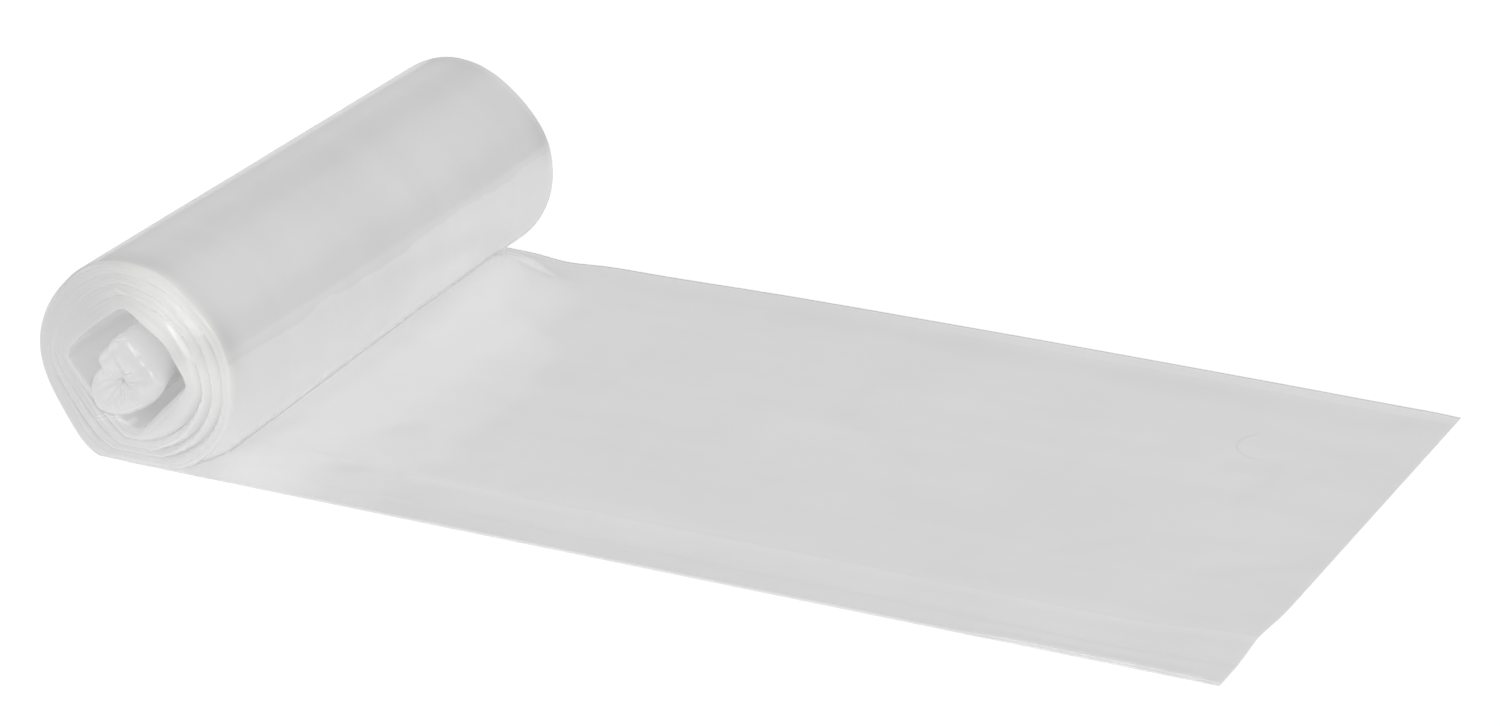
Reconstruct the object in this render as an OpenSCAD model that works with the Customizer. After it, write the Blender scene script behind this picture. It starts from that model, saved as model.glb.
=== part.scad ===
// Bin bag roll.
// One long web of lengthwise folded film is wound without a core. Its inner tail is crumpled into the
// hollow, and its last stretch is pulled off the roll and lies flat.
// The web is one solid: a thin strip that is swept along a spiral and then along the floor.
// X runs along the free stretch, Y along the roll, Z up. Angles are seen from the near end, with 0 on
// the side of the free stretch and 90 at the top. The origin is on the floor, below the part's middle.

/* [Web] */
// Width of the folded web, which is the length of the roll
web_w = 250; // [150:5:400]
// Thickness of the folded web, all its layers of film together
web_t = 0.6; // [0.3:0.05:1]
// Reach of the free stretch, from the roll's axis to its cut end
free_len = 422; // [200:1:800]
// Width of the hem, where the film is folded over along the near edge
hem_w = 33; // [15:1:60]
// Extra thickness of the hem on the free stretch
hem_t = 0.3; // [0.1:0.05:0.8]

/* [Roll] */
// Diameter of the roll, across its roundest part
roll_d = 86.6; // [78:0.2:120]
// How far the underside is pressed flat
sag = 3.8; // [1:0.1:6]
// How far the upper side towards the free stretch is drawn in
upper_flat = 2.7; // [0:0.1:5]
// How far the top is drawn in
top_flat = 0.6; // [0:0.1:4]
// How much looser the inner turns lie at the upper side towards the free stretch
inner_loose = 1.3; // [0:0.1:1.6]
// Least air between two turns
turn_gap = 0.3; // [0.2:0.05:1]

/* [Hollow] */
// From the roll's axis to the upper side of the hollow towards the free stretch
hollow_upper_right = 12; // [8:0.5:16]
// From the roll's axis to the upper side of the hollow away from the free stretch
hollow_upper_left = 19; // [14:0.5:21]
// From the roll's axis to the lower side of the hollow away from the free stretch
hollow_lower_left = 21.5; // [17:0.5:23]
// From the roll's axis to the lower side of the hollow towards the free stretch
hollow_lower_right = 17.5; // [14:0.5:21]

/* [Inner tail] */
// Number of turns in the crumpled tail
tail_turns = 2; // [1:1:3]
// Width of the crumpled tail, across its narrow way
tail_w = 24; // [18:0.5:26]
// Height of the crumpled tail, across its long way
tail_h = 31; // [24:0.5:34]
// Height of the crumples in the tail
crumple_h = 0.9; // [0:0.1:1.2]
// Thickness that the loose film of the tail puffs up to
tail_puff = 2.2; // [0.8:0.1:2.8]

/* [Ends] */
// Depth of the grooves between the soft ridges of each end
groove_depth = 4; // [0:0.5:8]
// Number of soft ridges in each end
ridges = 4; // [2:1:5]
// How far the outermost turns are drawn in at each end
edge_draw = 1.5; // [0:0.5:6]

/* [Free stretch] */
// Height to which the free stretch is lifted where it peels off the roll
peel_h = 4.5; // [0:0.5:7]
// Distance from the roll's axis at which the lift has run out
peel_len = 78; // [60:1:120]
// Height to which the far edge curls up
curl_h = 1.2; // [0:0.1:4]
// Width of the curled far edge
curl_w = 25; // [10:1:50]
// How much shorter the near edge is than the far one
end_skew = 3; // [0:0.5:10]

/* [Hidden] */

// Stations in a turn, and how sharply a flattened side ends.
steps = 24;
softness = 10;

// Sides of the roll, as [direction, how far the roll is drawn in there]: first along the near end, then
// at the far end, which is reached at a share of the width and is smaller on one side.
flats = [[0, -3.2], [50, upper_flat], [95, top_flat], [140, 0.8], [180, -3.5], [215, 1.2]];
far_flats = [[50, upper_flat / 4]];
far_draw = 3.2;
far_draw_dir = 140;
far_reach = 0.7;

// Sides of the hollow, as [direction, distance from the roll's axis].
hollow_flats = [
    [42, hollow_upper_right], [129, hollow_upper_left],
    [224, hollow_lower_left], [319, hollow_lower_right]
];
hollow_round = 40;

// The web leaves the tail at the hollow's lower left side and leaves the roll at its lowest point.
tail_dir = 224;
leave_dir = 270;
axis_h = roll_d / 2 - sag;
pressed_wall = axis_h - web_t / 2 - hollow_radius(leave_dir);
wall_least = min(pressed_wall, min([for (a = [0 : 5 : 355]) outer_radius(a, 0) - hollow_radius(a)]));
turns = floor(wall_least / (web_t + turn_gap)) + (leave_dir - tail_dir) / 360;
loose_dir = 40;

// The tail is an oval curl that leans against the hollow's lower left side, and is smaller if it wouldn't
// fit there. It starts at a share of its full size and is blended into the wall over a piece of turn.
tail_lean = 78;
tail_clear = 0.6;
tail_reach = norm([tail_h * cos(tail_lean - tail_dir), tail_w * sin(tail_lean - tail_dir)]) / 2;
tail_spread = norm([tail_h * sin(tail_lean - tail_dir), tail_w * cos(tail_lean - tail_dir)]) / 2;
tail_skin = crumple_h + tail_clear;
tail_fit = min(
    1,
    ((hollow_lower_left + hollow_upper_right) / 2 - tail_skin) / tail_reach,
    (min(hollow_upper_left, hollow_lower_right) - tail_skin) / tail_spread
);
tail_drop = hollow_lower_left - tail_skin - tail_reach * tail_fit;
tail_core = 0.25;
tail_crumples = 5;
blend_turns = 0.07;

// How fast the puffed film thickens above the floor, the share of it that a groove takes away, and the
// piece of a turn over which the wall's slope is taken.
puff_rise = 0.3;
groove_gap = 0.5;
slope_step = 0.01;

// Each end's grooves and rounding are deepest on one side, and this is the share left opposite to it.
groove_dir = 330;
groove_least = 0.35;
rounding_dir = 140;
rounding_least = 0.4;

// How far the ends of the tail are drawn in, with the waves that the crumpling gives them.
tail_draw_mean = 2.5;
tail_draw_waves = [[1, 2], [0.5, 5]];

// The lift starts where the web leaves the roll and has its crest at a share of its length. Along the far
// edge it is shorter and lower, and along the near edge it is lower too.
lift_start = 12;
lift_crest = 0.35;
far_lift_from = 0.8;
far_lift_len = 0.5;
far_lift_height = 0.3;
near_lift_to = 0.3;
near_lift_height = 0.25;

// The curl of the far edge rises over one stretch of the length and sinks over another, as shares of it.
curl_rise = [0.15, 0.35];
curl_sink = [0.8, 1];

// Where the hem's fold shows, and how soon the drawn-in end straightens past the roll.
hem_rise = [30, 90];
draw_fade = 60;

// The widths at which the strip has a row of points, as shares of the web, and the free stretch's own
// stations, which lie closer together near the roll.
hem_step = 1.5;
mid_rows = [0.45, 0.72];
rows = concat([0, hem_w / web_w, (hem_w + hem_step) / web_w], mid_rows, [1 - curl_w / web_w, 1]);
free_steps = 22;
free_spread = 1.7;

// Plain helpers.
function clamped(x) = min(1, max(0, x));
function smooth(x) = let(c = clamped(x)) c * c * (3 - 2 * c);
function ramp(x, span) = smooth((x - span[0]) / (span[1] - span[0]));
function mix(a, b, k) = a + (b - a) * k;
function facing(a, dir) = (1 + cos(a - dir)) / 2;
function total(list) = list * [for (x = list) 1];

// A circle of radius r that is drawn flat towards each [direction, distance] of sides.
function soft_radius(a, r, sides) =
    let(flat = [for (s = sides) pow(max(cos(a - s[0]), 0) / s[1], softness)])
    pow(pow(r, -softness) + total(flat), -1 / softness);

// The mid-line of the outermost and of the innermost turn, at width v from the near end to the far one.
function drawn_in(list, r) = [for (s = list) [s[0], r - s[1]]];
function near_radius(a) = soft_radius(a, roll_d / 2, drawn_in(flats, roll_d / 2));
function far_radius(a) =
    soft_radius(a, roll_d / 2 - far_draw * facing(a, far_draw_dir), drawn_in(far_flats, roll_d / 2));
function outer_radius(a, v) = mix(near_radius(a), far_radius(a), smooth(v / far_reach)) - web_t / 2;
function hollow_radius(a) = soft_radius(a, hollow_round, hollow_flats) + web_t / 2;

// A turn number t runs from below 0 in the tail, over 0 at the hollow, to turns where the web leaves.
function turn_angle(t) = leave_dir + 360 * (t - turns);
function turns_below(t) = round(turns - t);
function floor_level(t) = web_t / 2 + turns_below(t) * pressed_wall / turns;

// The share of the wall's thickness at which turn t lies in the direction a.
function wall_share(t, a) =
    let(u = t / turns, inner = clamped(u))
    u + inner_loose * pow(max(cos(a - loose_dir), 0), 3) * inner * pow(1 - inner, 3);
function wall_radius(t, v) =
    let(a = turn_angle(t))
    mix(hollow_radius(a), outer_radius(a, v), wall_share(t, a));
function wall_height(t, v) = axis_h + wall_radius(t, v) * sin(turn_angle(t));
function wall_point(t, v) = [wall_radius(t, v) * cos(turn_angle(t)), max(wall_height(t, v), floor_level(t))];

function tail_point(t) =
    let(
        a = turn_angle(t) - tail_lean,
        size = mix(tail_core, 1, 1 + t / tail_turns),
        fold = crumple_h * size * sin(tail_crumples * a),
        along = ((tail_h * tail_fit - tail_puff) / 2 + fold) * size * cos(a),
        across = ((tail_w * tail_fit - tail_puff) / 2 + fold) * size * sin(a)
    )
    [
        tail_drop * cos(tail_dir) + along * cos(tail_lean) - across * sin(tail_lean),
        axis_h + tail_drop * sin(tail_dir) + along * sin(tail_lean) + across * cos(tail_lean)
    ];

function roll_point(t, v) =
    let(in_wall = smooth((t / blend_turns + 1) / 2))
    in_wall == 0 ? tail_point(t) : mix(tail_point(t), wall_point(t, v), in_wall);

// The loose film puffs up and fills the room between two turns, less where the roll is pressed flat.
function pitch_at(t, v) =
    let(a = turn_angle(t))
    (outer_radius(a, v) - hollow_radius(a)) * (wall_share(t + 0.5, a) - wall_share(t - 0.5, a));
function wall_slope(t, v) =
    (wall_radius(t + slope_step, v) - wall_radius(t - slope_step, v))
    / (2 * slope_step * 2 * PI * wall_radius(t, v));
function wall_puff(t, v) =
    let(
        room = pitch_at(t, v) / norm([1, wall_slope(t, v)]) - turn_gap - web_t,
        clear = wall_height(t, v) - floor_level(t)
    )
    min(max(room, 0), puff_rise * max(clear, 0)) * (1 - groove_gap * groove(clamped(t / turns)));
function tail_thickness(t) = mix(web_t, tail_puff, smooth((t + tail_turns) / tail_turns));
function thickness(t, v) =
    mix(tail_thickness(t), web_t + wall_puff(t, v), smooth((t / blend_turns + 1) / 2));

// How far each end of the web is drawn in: ridges and grooves in the wall, a rounded outer edge.
last_ridge = 1 - 0.5 / ridges;
function groove(u) = u > last_ridge ? 0 : 1 - abs(sin(180 * ridges * u));
function wall_draw(u, a, turned) =
    groove_depth * groove(u) * mix(groove_least, 1, facing(a, groove_dir + turned))
    + edge_draw * pow(clamped((u - last_ridge) / (1 - last_ridge)), 2)
    * mix(rounding_least, 1, facing(a, rounding_dir + turned));
function tail_draw(a) = tail_draw_mean + total([for (w = tail_draw_waves) w[0] * sin(w[1] * a)]);
function end_draw(t, turned) =
    let(a = turn_angle(t))
    mix(tail_draw(a + turned), wall_draw(clamped(t / turns), a, turned), smooth((t / blend_turns + 1) / 2));

// The free stretch lies on the floor. It is lifted beside the roll, most in its middle, and its far
// edge curls up a little over the middle of its length.
function lift_len(v) = peel_len * mix(1, far_lift_len, ramp(v, [far_lift_from, 1]));
function lift_height(v) =
    peel_h * mix(near_lift_height, 1, ramp(v, [0, near_lift_to]))
    * mix(1, far_lift_height, ramp(v, [far_lift_from, 1]));
function lift(x, v) =
    let(u = (x - lift_start) / (lift_len(v) - lift_start))
    lift_height(v) * ramp(u, [0, lift_crest]) * (1 - ramp(u, [lift_crest, 1]));
function curl(x, v) =
    v < 1 ? 0 : curl_h * ramp(x / free_len, curl_rise) * (1 - ramp(x / free_len, curl_sink));
function free_point(x, v) =
    [x - end_skew * (1 - v) * pow(x / free_len, 2), web_t / 2 + lift(x, v) + curl(x, v)];
function free_draw(x, turned) = end_draw(turns, turned) * exp(-x / draw_fade);

// Stations along the web: [1, turn number] on the roll, [0, distance from the axis] on the free stretch.
roll_steps = floor((turns + tail_turns) * steps);
stations = concat(
    [for (i = [0 : roll_steps]) [1, turns - (roll_steps - i) / steps]],
    [for (i = [1 : free_steps]) [0, free_len * pow(i / free_steps, free_spread)]]
);
last_station = len(stations) - 1;
last_row = len(rows) - 1;

function mid_point(s, v) =
    let(
        flat = s[0] == 1 ? roll_point(s[1], v) : free_point(s[1], v),
        near = s[0] == 1 ? end_draw(s[1], 0) : free_draw(s[1], 0),
        far = s[0] == 1 ? end_draw(s[1], 180) : free_draw(s[1], 180)
    )
    [flat[0], mix(near, web_w - far, v), flat[1]];
mids = [for (s = stations) [for (v = rows) mid_point(s, v)]];

// The hem is thicker on the free stretch only, and only on its upper side.
function hem(i, j) = stations[i][0] == 0 && j <= 1 ? hem_t * ramp(stations[i][1], hem_rise) : 0;

// The strip's two faces stand off its mid-surface, square to its path.
function face_point(i, j, side) =
    let(
        before = mids[max(i - 1, 0)][j],
        after = mids[min(i + 1, last_station)][j],
        dx = after[0] - before[0],
        dz = after[2] - before[2],
        run = norm([dx, dz]),
        half = (stations[i][0] == 1 ? thickness(stations[i][1], rows[j]) : web_t) / 2,
        off = side * half + (side > 0 ? hem(i, j) : 0)
    )
    mids[i][j] + off * [-dz / run, 0, dx / run];

// Points in order of station, row and face: the outer or lower face first, then the inner or upper one.
web_points = [
    for (i = [0 : last_station]) for (j = [0 : last_row]) for (side = [-1, 1]) face_point(i, j, side)
];
function at(i, j, upper) = (i * (last_row + 1) + j) * 2 + upper;
function quad(a, b, c, d) = [[a, b, c], [a, c, d]];
web_faces = concat(
    [for (i = [0 : last_station - 1]) for (j = [0 : last_row - 1])
        each quad(at(i, j, 1), at(i, j + 1, 1), at(i + 1, j + 1, 1), at(i + 1, j, 1))],
    [for (i = [0 : last_station - 1]) for (j = [0 : last_row - 1])
        each quad(at(i, j, 0), at(i + 1, j, 0), at(i + 1, j + 1, 0), at(i, j + 1, 0))],
    [for (i = [0 : last_station - 1]) each quad(at(i, 0, 0), at(i, 0, 1), at(i + 1, 0, 1), at(i + 1, 0, 0))],
    [for (i = [0 : last_station - 1])
        each quad(at(i, last_row, 0), at(i + 1, last_row, 0), at(i + 1, last_row, 1), at(i, last_row, 1))],
    [for (j = [0 : last_row - 1]) each quad(at(0, j, 0), at(0, j + 1, 0), at(0, j + 1, 1), at(0, j, 1))],
    [for (j = [0 : last_row - 1], last = [last_station])
        each quad(at(last, j, 0), at(last, j, 1), at(last, j + 1, 1), at(last, j + 1, 0))]
);

// The part is centred on its own footprint and stands on the floor.
function middle(axis) = let(c = [for (p = web_points) p[axis]]) (min(c) + max(c)) / 2;
lowest = min([for (p = web_points) p[2]]);

module bag_roll() {
    color("gainsboro")
        translate([-middle(0), -middle(1), -lowest])
            polyhedron(points = web_points, faces = web_faces, convexity = 12);
}

bag_roll();
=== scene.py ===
import logging
import math
from dataclasses import dataclass, field
from enum import Enum

import bmesh
import bpy
import numpy as np
from mathutils import Matrix, Vector, noise


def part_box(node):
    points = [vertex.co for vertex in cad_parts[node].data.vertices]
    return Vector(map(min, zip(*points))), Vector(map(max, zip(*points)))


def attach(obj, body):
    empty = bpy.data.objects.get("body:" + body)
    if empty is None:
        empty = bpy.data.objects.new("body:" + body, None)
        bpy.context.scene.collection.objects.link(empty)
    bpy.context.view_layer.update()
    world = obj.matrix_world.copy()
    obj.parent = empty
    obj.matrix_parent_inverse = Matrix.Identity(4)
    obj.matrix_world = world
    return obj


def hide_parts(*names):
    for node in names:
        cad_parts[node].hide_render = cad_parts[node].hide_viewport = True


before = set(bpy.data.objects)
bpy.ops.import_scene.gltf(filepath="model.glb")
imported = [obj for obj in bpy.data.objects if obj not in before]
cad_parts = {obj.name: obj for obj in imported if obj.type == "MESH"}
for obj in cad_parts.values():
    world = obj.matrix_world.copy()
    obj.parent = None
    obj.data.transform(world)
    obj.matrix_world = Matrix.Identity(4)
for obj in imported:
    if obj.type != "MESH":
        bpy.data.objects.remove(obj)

LOG = logging.getLogger("bag_roll")
NODE = "bag_roll"
BODY = "root"
UV_MAP = "film_uv"
MM = 0.001

Pair = tuple[float, float]
Stops = tuple[Pair, ...]


class End(Enum):
    """The two ends of the roll, by how far a pattern is turned between them."""

    NEAR = 0.0
    FAR = 180.0


@dataclass(frozen=True)
class Side:
    """A side on which an outline is drawn in or stands out.

    Args:
        direction: Degrees, seen from the near end.
        distance: Millimetres, from the axis or from the round outline.
    """

    direction: float
    distance: float


def smooth(x: np.ndarray | float) -> np.ndarray | float:
    """Return a soft step from 0 to 1 as x goes from 0 to 1."""
    c = np.clip(x, 0.0, 1.0)
    return c * c * (3.0 - 2.0 * c)


def ramp(x: np.ndarray | float, low: float, high: float) -> np.ndarray | float:
    """Return a soft step from 0 to 1 as x goes from low to high."""
    return smooth((x - low) / (high - low))


def bell(x: np.ndarray | float, middle: float, width: float) -> np.ndarray | float:
    """Return a soft bump that is 1 at the middle and fades to both sides."""
    return np.exp(-((x - middle) / width) ** 2)


def between(x: np.ndarray | float, stops: Stops, period: float | None = None) -> np.ndarray:
    """Return the value at each x from a table.

    Args:
        x: Places.
        stops: The table, as pairs of a place and its value.
        period: The length after which the table repeats, such as 360 for directions.

    Returns:
        One value for each place, in straight steps between the stops.
    """
    places, values = np.array(stops, float).T
    return np.interp(x, places, values, period=period)


def mix(a: np.ndarray | float, b: np.ndarray | float, share: np.ndarray | float) -> np.ndarray | float:
    """Return a at share 0 and b at share 1."""
    return a + (b - a) * share


def cosine(degrees: np.ndarray | float) -> np.ndarray | float:
    """Return the cosine of an angle in degrees."""
    return np.cos(np.radians(degrees))


def sine(degrees: np.ndarray | float) -> np.ndarray | float:
    """Return the sine of an angle in degrees."""
    return np.sin(np.radians(degrees))


def facing(degrees: np.ndarray | float, direction: float) -> np.ndarray | float:
    """Return 1 where an angle points in a direction, and 0 opposite to it."""
    return (1.0 + cosine(degrees - direction)) / 2.0


def cloud(x: np.ndarray, y: np.ndarray, z: float = 0.0) -> np.ndarray:
    """Return smooth noise between about -1 and 1.

    Args:
        x: First coordinate of each point, in cells of the noise.
        y: Second coordinate of each point.
        z: Third coordinate, which picks one pattern.

    Returns:
        One value for each point, in the shape of x and y together.
    """
    x, y = np.broadcast_arrays(x, y)
    values = [noise.noise((p, q, z)) for p, q in zip(x.ravel(), y.ravel())]
    return np.array(values).reshape(x.shape)


def soft_outline(angle: np.ndarray, radius: float, sides: tuple[Side, ...], softness: float) -> np.ndarray:
    """Return the radius of a circle that is drawn flat towards some sides.

    Args:
        angle: Directions in degrees.
        radius: The circle's radius.
        sides: The flat sides, each at its distance from the centre.
        softness: How sharply a flat side ends.

    Returns:
        The radius in each direction.
    """
    total = radius ** -softness
    for side in sides:
        total = total + (np.maximum(cosine(angle - side.direction), 0.0) / side.distance) ** softness
    return total ** (-1.0 / softness)


@dataclass(frozen=True)
class Winding:
    """The wound part of the web: outline, hollow and turns, in millimetres and degrees.

    Args:
        film: Thickness of the folded web.
        diameter: Diameter of the roll before it sags.
        sag: How far the roll has sunk on to the floor.
        full_turns: Whole turns in the wall.
        leave_dir: Direction in which the web leaves the roll.
        tail_dir: Direction in which the wall's innermost turn starts.
        softness: How sharply a flat side ends.
        near_sides: Flat sides of the near end, drawn in from the round outline.
        corner: Where the near end's outline stands out above the floor.
        corner_power: How narrow that corner is.
        belly: Where the roll bulges over the free stretch.
        belly_power: How narrow that bulge is.
        belly_start: Share of the width over which the bulge begins.
        belly_reach: Share of the width at which it has run out.
        far_sides: Flat sides of the far end.
        far_draw: Side on which the far end is slimmer.
        far_reach: Share of the width over which the near outline turns into the far one.
        hollow_round: Radius of the hollow's corners, from the axis.
        hollow_sides: Flat sides of the hollow.
        loose_least: How much looser the inner turns lie on every side.
        loose_sides: Sides on which they lie looser still.
        seam_gap: Gap between a turn and the next.
        wobble: How far a seam strays, as a share of the space between two turns.
        wobble_rate: How often it strays in one turn.
        puff_rise: How fast the outermost turn thickens above the place where it is pressed.
        thin_from: Turns before the end from which the film thins to its own thickness.
        blend: Turns over which the tail changes into the wall.
        overhang: Turns before the end between which the roll lies over the free stretch.
    """

    film: float = 0.6
    diameter: float = 86.6
    sag: float = 3.8
    full_turns: int = 12
    leave_dir: float = 270.0
    tail_dir: float = 224.0
    softness: float = 10.0
    near_sides: tuple[Side, ...] = (
        Side(0, -3.2), Side(50, 2.7), Side(95, 0.6), Side(140, 0.8), Side(180, -3.5), Side(215, 1.2),
    )
    corner: Side = Side(241, 1.6)
    corner_power: int = 24
    belly: Side = Side(315, 3.9)
    belly_power: int = 8
    belly_start: float = 0.06
    belly_reach: float = 0.66
    far_sides: tuple[Side, ...] = (Side(50, 0.7),)
    far_draw: Side = Side(140, 3.2)
    far_reach: float = 0.7
    hollow_round: float = 40.0
    hollow_sides: tuple[Side, ...] = (Side(42, 12.0), Side(129, 19.0), Side(224, 21.5), Side(319, 17.5))
    loose_least: float = 0.5
    loose_sides: tuple[Side, ...] = (Side(40, 1.3), Side(300, 1.3))
    seam_gap: float = 0.06
    wobble: float = 0.15
    wobble_rate: float = 6.0
    puff_rise: float = 0.3
    thin_from: float = 0.1
    blend: float = 0.07
    overhang: Pair = (1.0, 0.78)

    @property
    def turns(self) -> float:
        """Number of turns in the wall, from the hollow to where the web leaves."""
        return self.full_turns + (self.leave_dir - self.tail_dir) / 360.0

    @property
    def axis_height(self) -> float:
        """Height of the roll's axis above the floor."""
        return self.diameter / 2.0 - self.sag

    def drawn_in(self, sides: tuple[Side, ...]) -> tuple[Side, ...]:
        """Return sides whose distances are measured from the axis instead of from the round outline."""
        return tuple(Side(s.direction, self.diameter / 2.0 - s.distance) for s in sides)

    def bulge(self, angle: np.ndarray, side: Side, power: int) -> np.ndarray:
        """Return how far an outline stands out towards a side, more narrowly with a higher power."""
        return side.distance * np.maximum(cosine(angle - side.direction), 0.0) ** power

    def outer(self, angle: np.ndarray, share: np.ndarray) -> np.ndarray:
        """Return the radius of the outermost turn's middle.

        Args:
            angle: Directions in degrees.
            share: Place along the roll, 0 at the near end and 1 at the far end.
        """
        radius = self.diameter / 2.0
        near = soft_outline(angle, radius, self.drawn_in(self.near_sides), self.softness)
        near = near + self.bulge(angle, self.corner, self.corner_power)
        drawn = radius - self.far_draw.distance * facing(angle, self.far_draw.direction)
        far = soft_outline(angle, drawn, self.drawn_in(self.far_sides), self.softness)
        belly = ramp(share, 0.0, self.belly_start) * np.maximum(1.0 - share / self.belly_reach, 0.0)
        belly = belly * self.bulge(angle, self.belly, self.belly_power)
        return mix(near, far, smooth(share / self.far_reach)) + belly - self.film / 2.0

    def hollow(self, angle: np.ndarray) -> np.ndarray:
        """Return the radius of the innermost turn's middle."""
        return soft_outline(angle, self.hollow_round, self.hollow_sides, self.softness) + self.film / 2.0

    def turn_angle(self, turn: np.ndarray) -> np.ndarray:
        """Return the direction in degrees at which a turn number lies."""
        return self.leave_dir + 360.0 * (turn - self.turns)

    def looseness(self, angle: np.ndarray) -> np.ndarray:
        """Return how much looser the inner turns lie in a direction."""
        return self.loose_least + sum(self.bulge(angle, side, 3) for side in self.loose_sides)

    def wall_share(self, turn: np.ndarray, angle: np.ndarray) -> np.ndarray:
        """Return how far through the wall a turn lies, from 0 at the hollow to 1 outside."""
        u = turn / self.turns
        inner = np.clip(u, 0.0, 1.0)
        return u + self.looseness(angle) * inner * (1.0 - inner) ** 3

    def floor_level(self, turn: np.ndarray) -> np.ndarray:
        """Return the least height of a turn's middle where the roll is pressed flat."""
        below = np.floor(self.turns - turn + 0.5)
        leave = np.array(self.leave_dir)
        pressed = self.axis_height - self.film / 2.0 - self.hollow(leave)
        return self.film / 2.0 + pressed * (1.0 - self.wall_share(self.turns - below, leave))

    def radius(self, turn: np.ndarray, share: np.ndarray) -> np.ndarray:
        """Return the radius of a turn's middle before it is pressed on the floor."""
        angle = self.turn_angle(turn)
        return mix(self.hollow(angle), self.outer(angle, share), self.wall_share(turn, angle))

    def height(self, turn: np.ndarray, share: np.ndarray) -> np.ndarray:
        """Return the height of a turn's middle before it is pressed on the floor."""
        return self.axis_height + self.radius(turn, share) * sine(self.turn_angle(turn))

    def seam(self, turn: np.ndarray, share: np.ndarray) -> tuple[np.ndarray, np.ndarray]:
        """Return where a turn meets the next one outwards.

        Args:
            turn: Number of the inner one of the two turns.
            share: Place along the roll, 0 at the near end and 1 at the far end.

        Returns:
            The seam's radius, and its least height where the roll is pressed flat.
        """
        place = 0.5 + self.wobble * cloud(turn * self.wobble_rate, share * 4.0, 1.7)
        radius = mix(self.radius(turn, share), self.radius(turn + 1.0, share), place)
        return radius, (self.floor_level(turn) + self.floor_level(turn + 1.0)) / 2.0

    def wrap_half(self, turn: np.ndarray, share: np.ndarray) -> np.ndarray:
        """Return half the thickness of the outermost turn, which is puffed where it isn't pressed."""
        pitch = self.radius(turn + 0.5, share) - self.radius(turn - 0.5, share)
        clear = np.maximum(self.height(turn, share) - self.floor_level(turn), 0.0)
        return np.minimum(pitch - self.seam_gap, self.film + self.puff_rise * clear) / 2.0

    def on_floor(self, turn: np.ndarray, radius: np.ndarray, level: np.ndarray) -> np.ndarray:
        """Return points of the wall as x from the axis and height, from radii and least heights."""
        angle = self.turn_angle(turn)
        height = np.maximum(self.axis_height + radius * sine(angle), level)
        return np.stack(np.broadcast_arrays(radius * cosine(angle), height), axis=-1)


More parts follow.
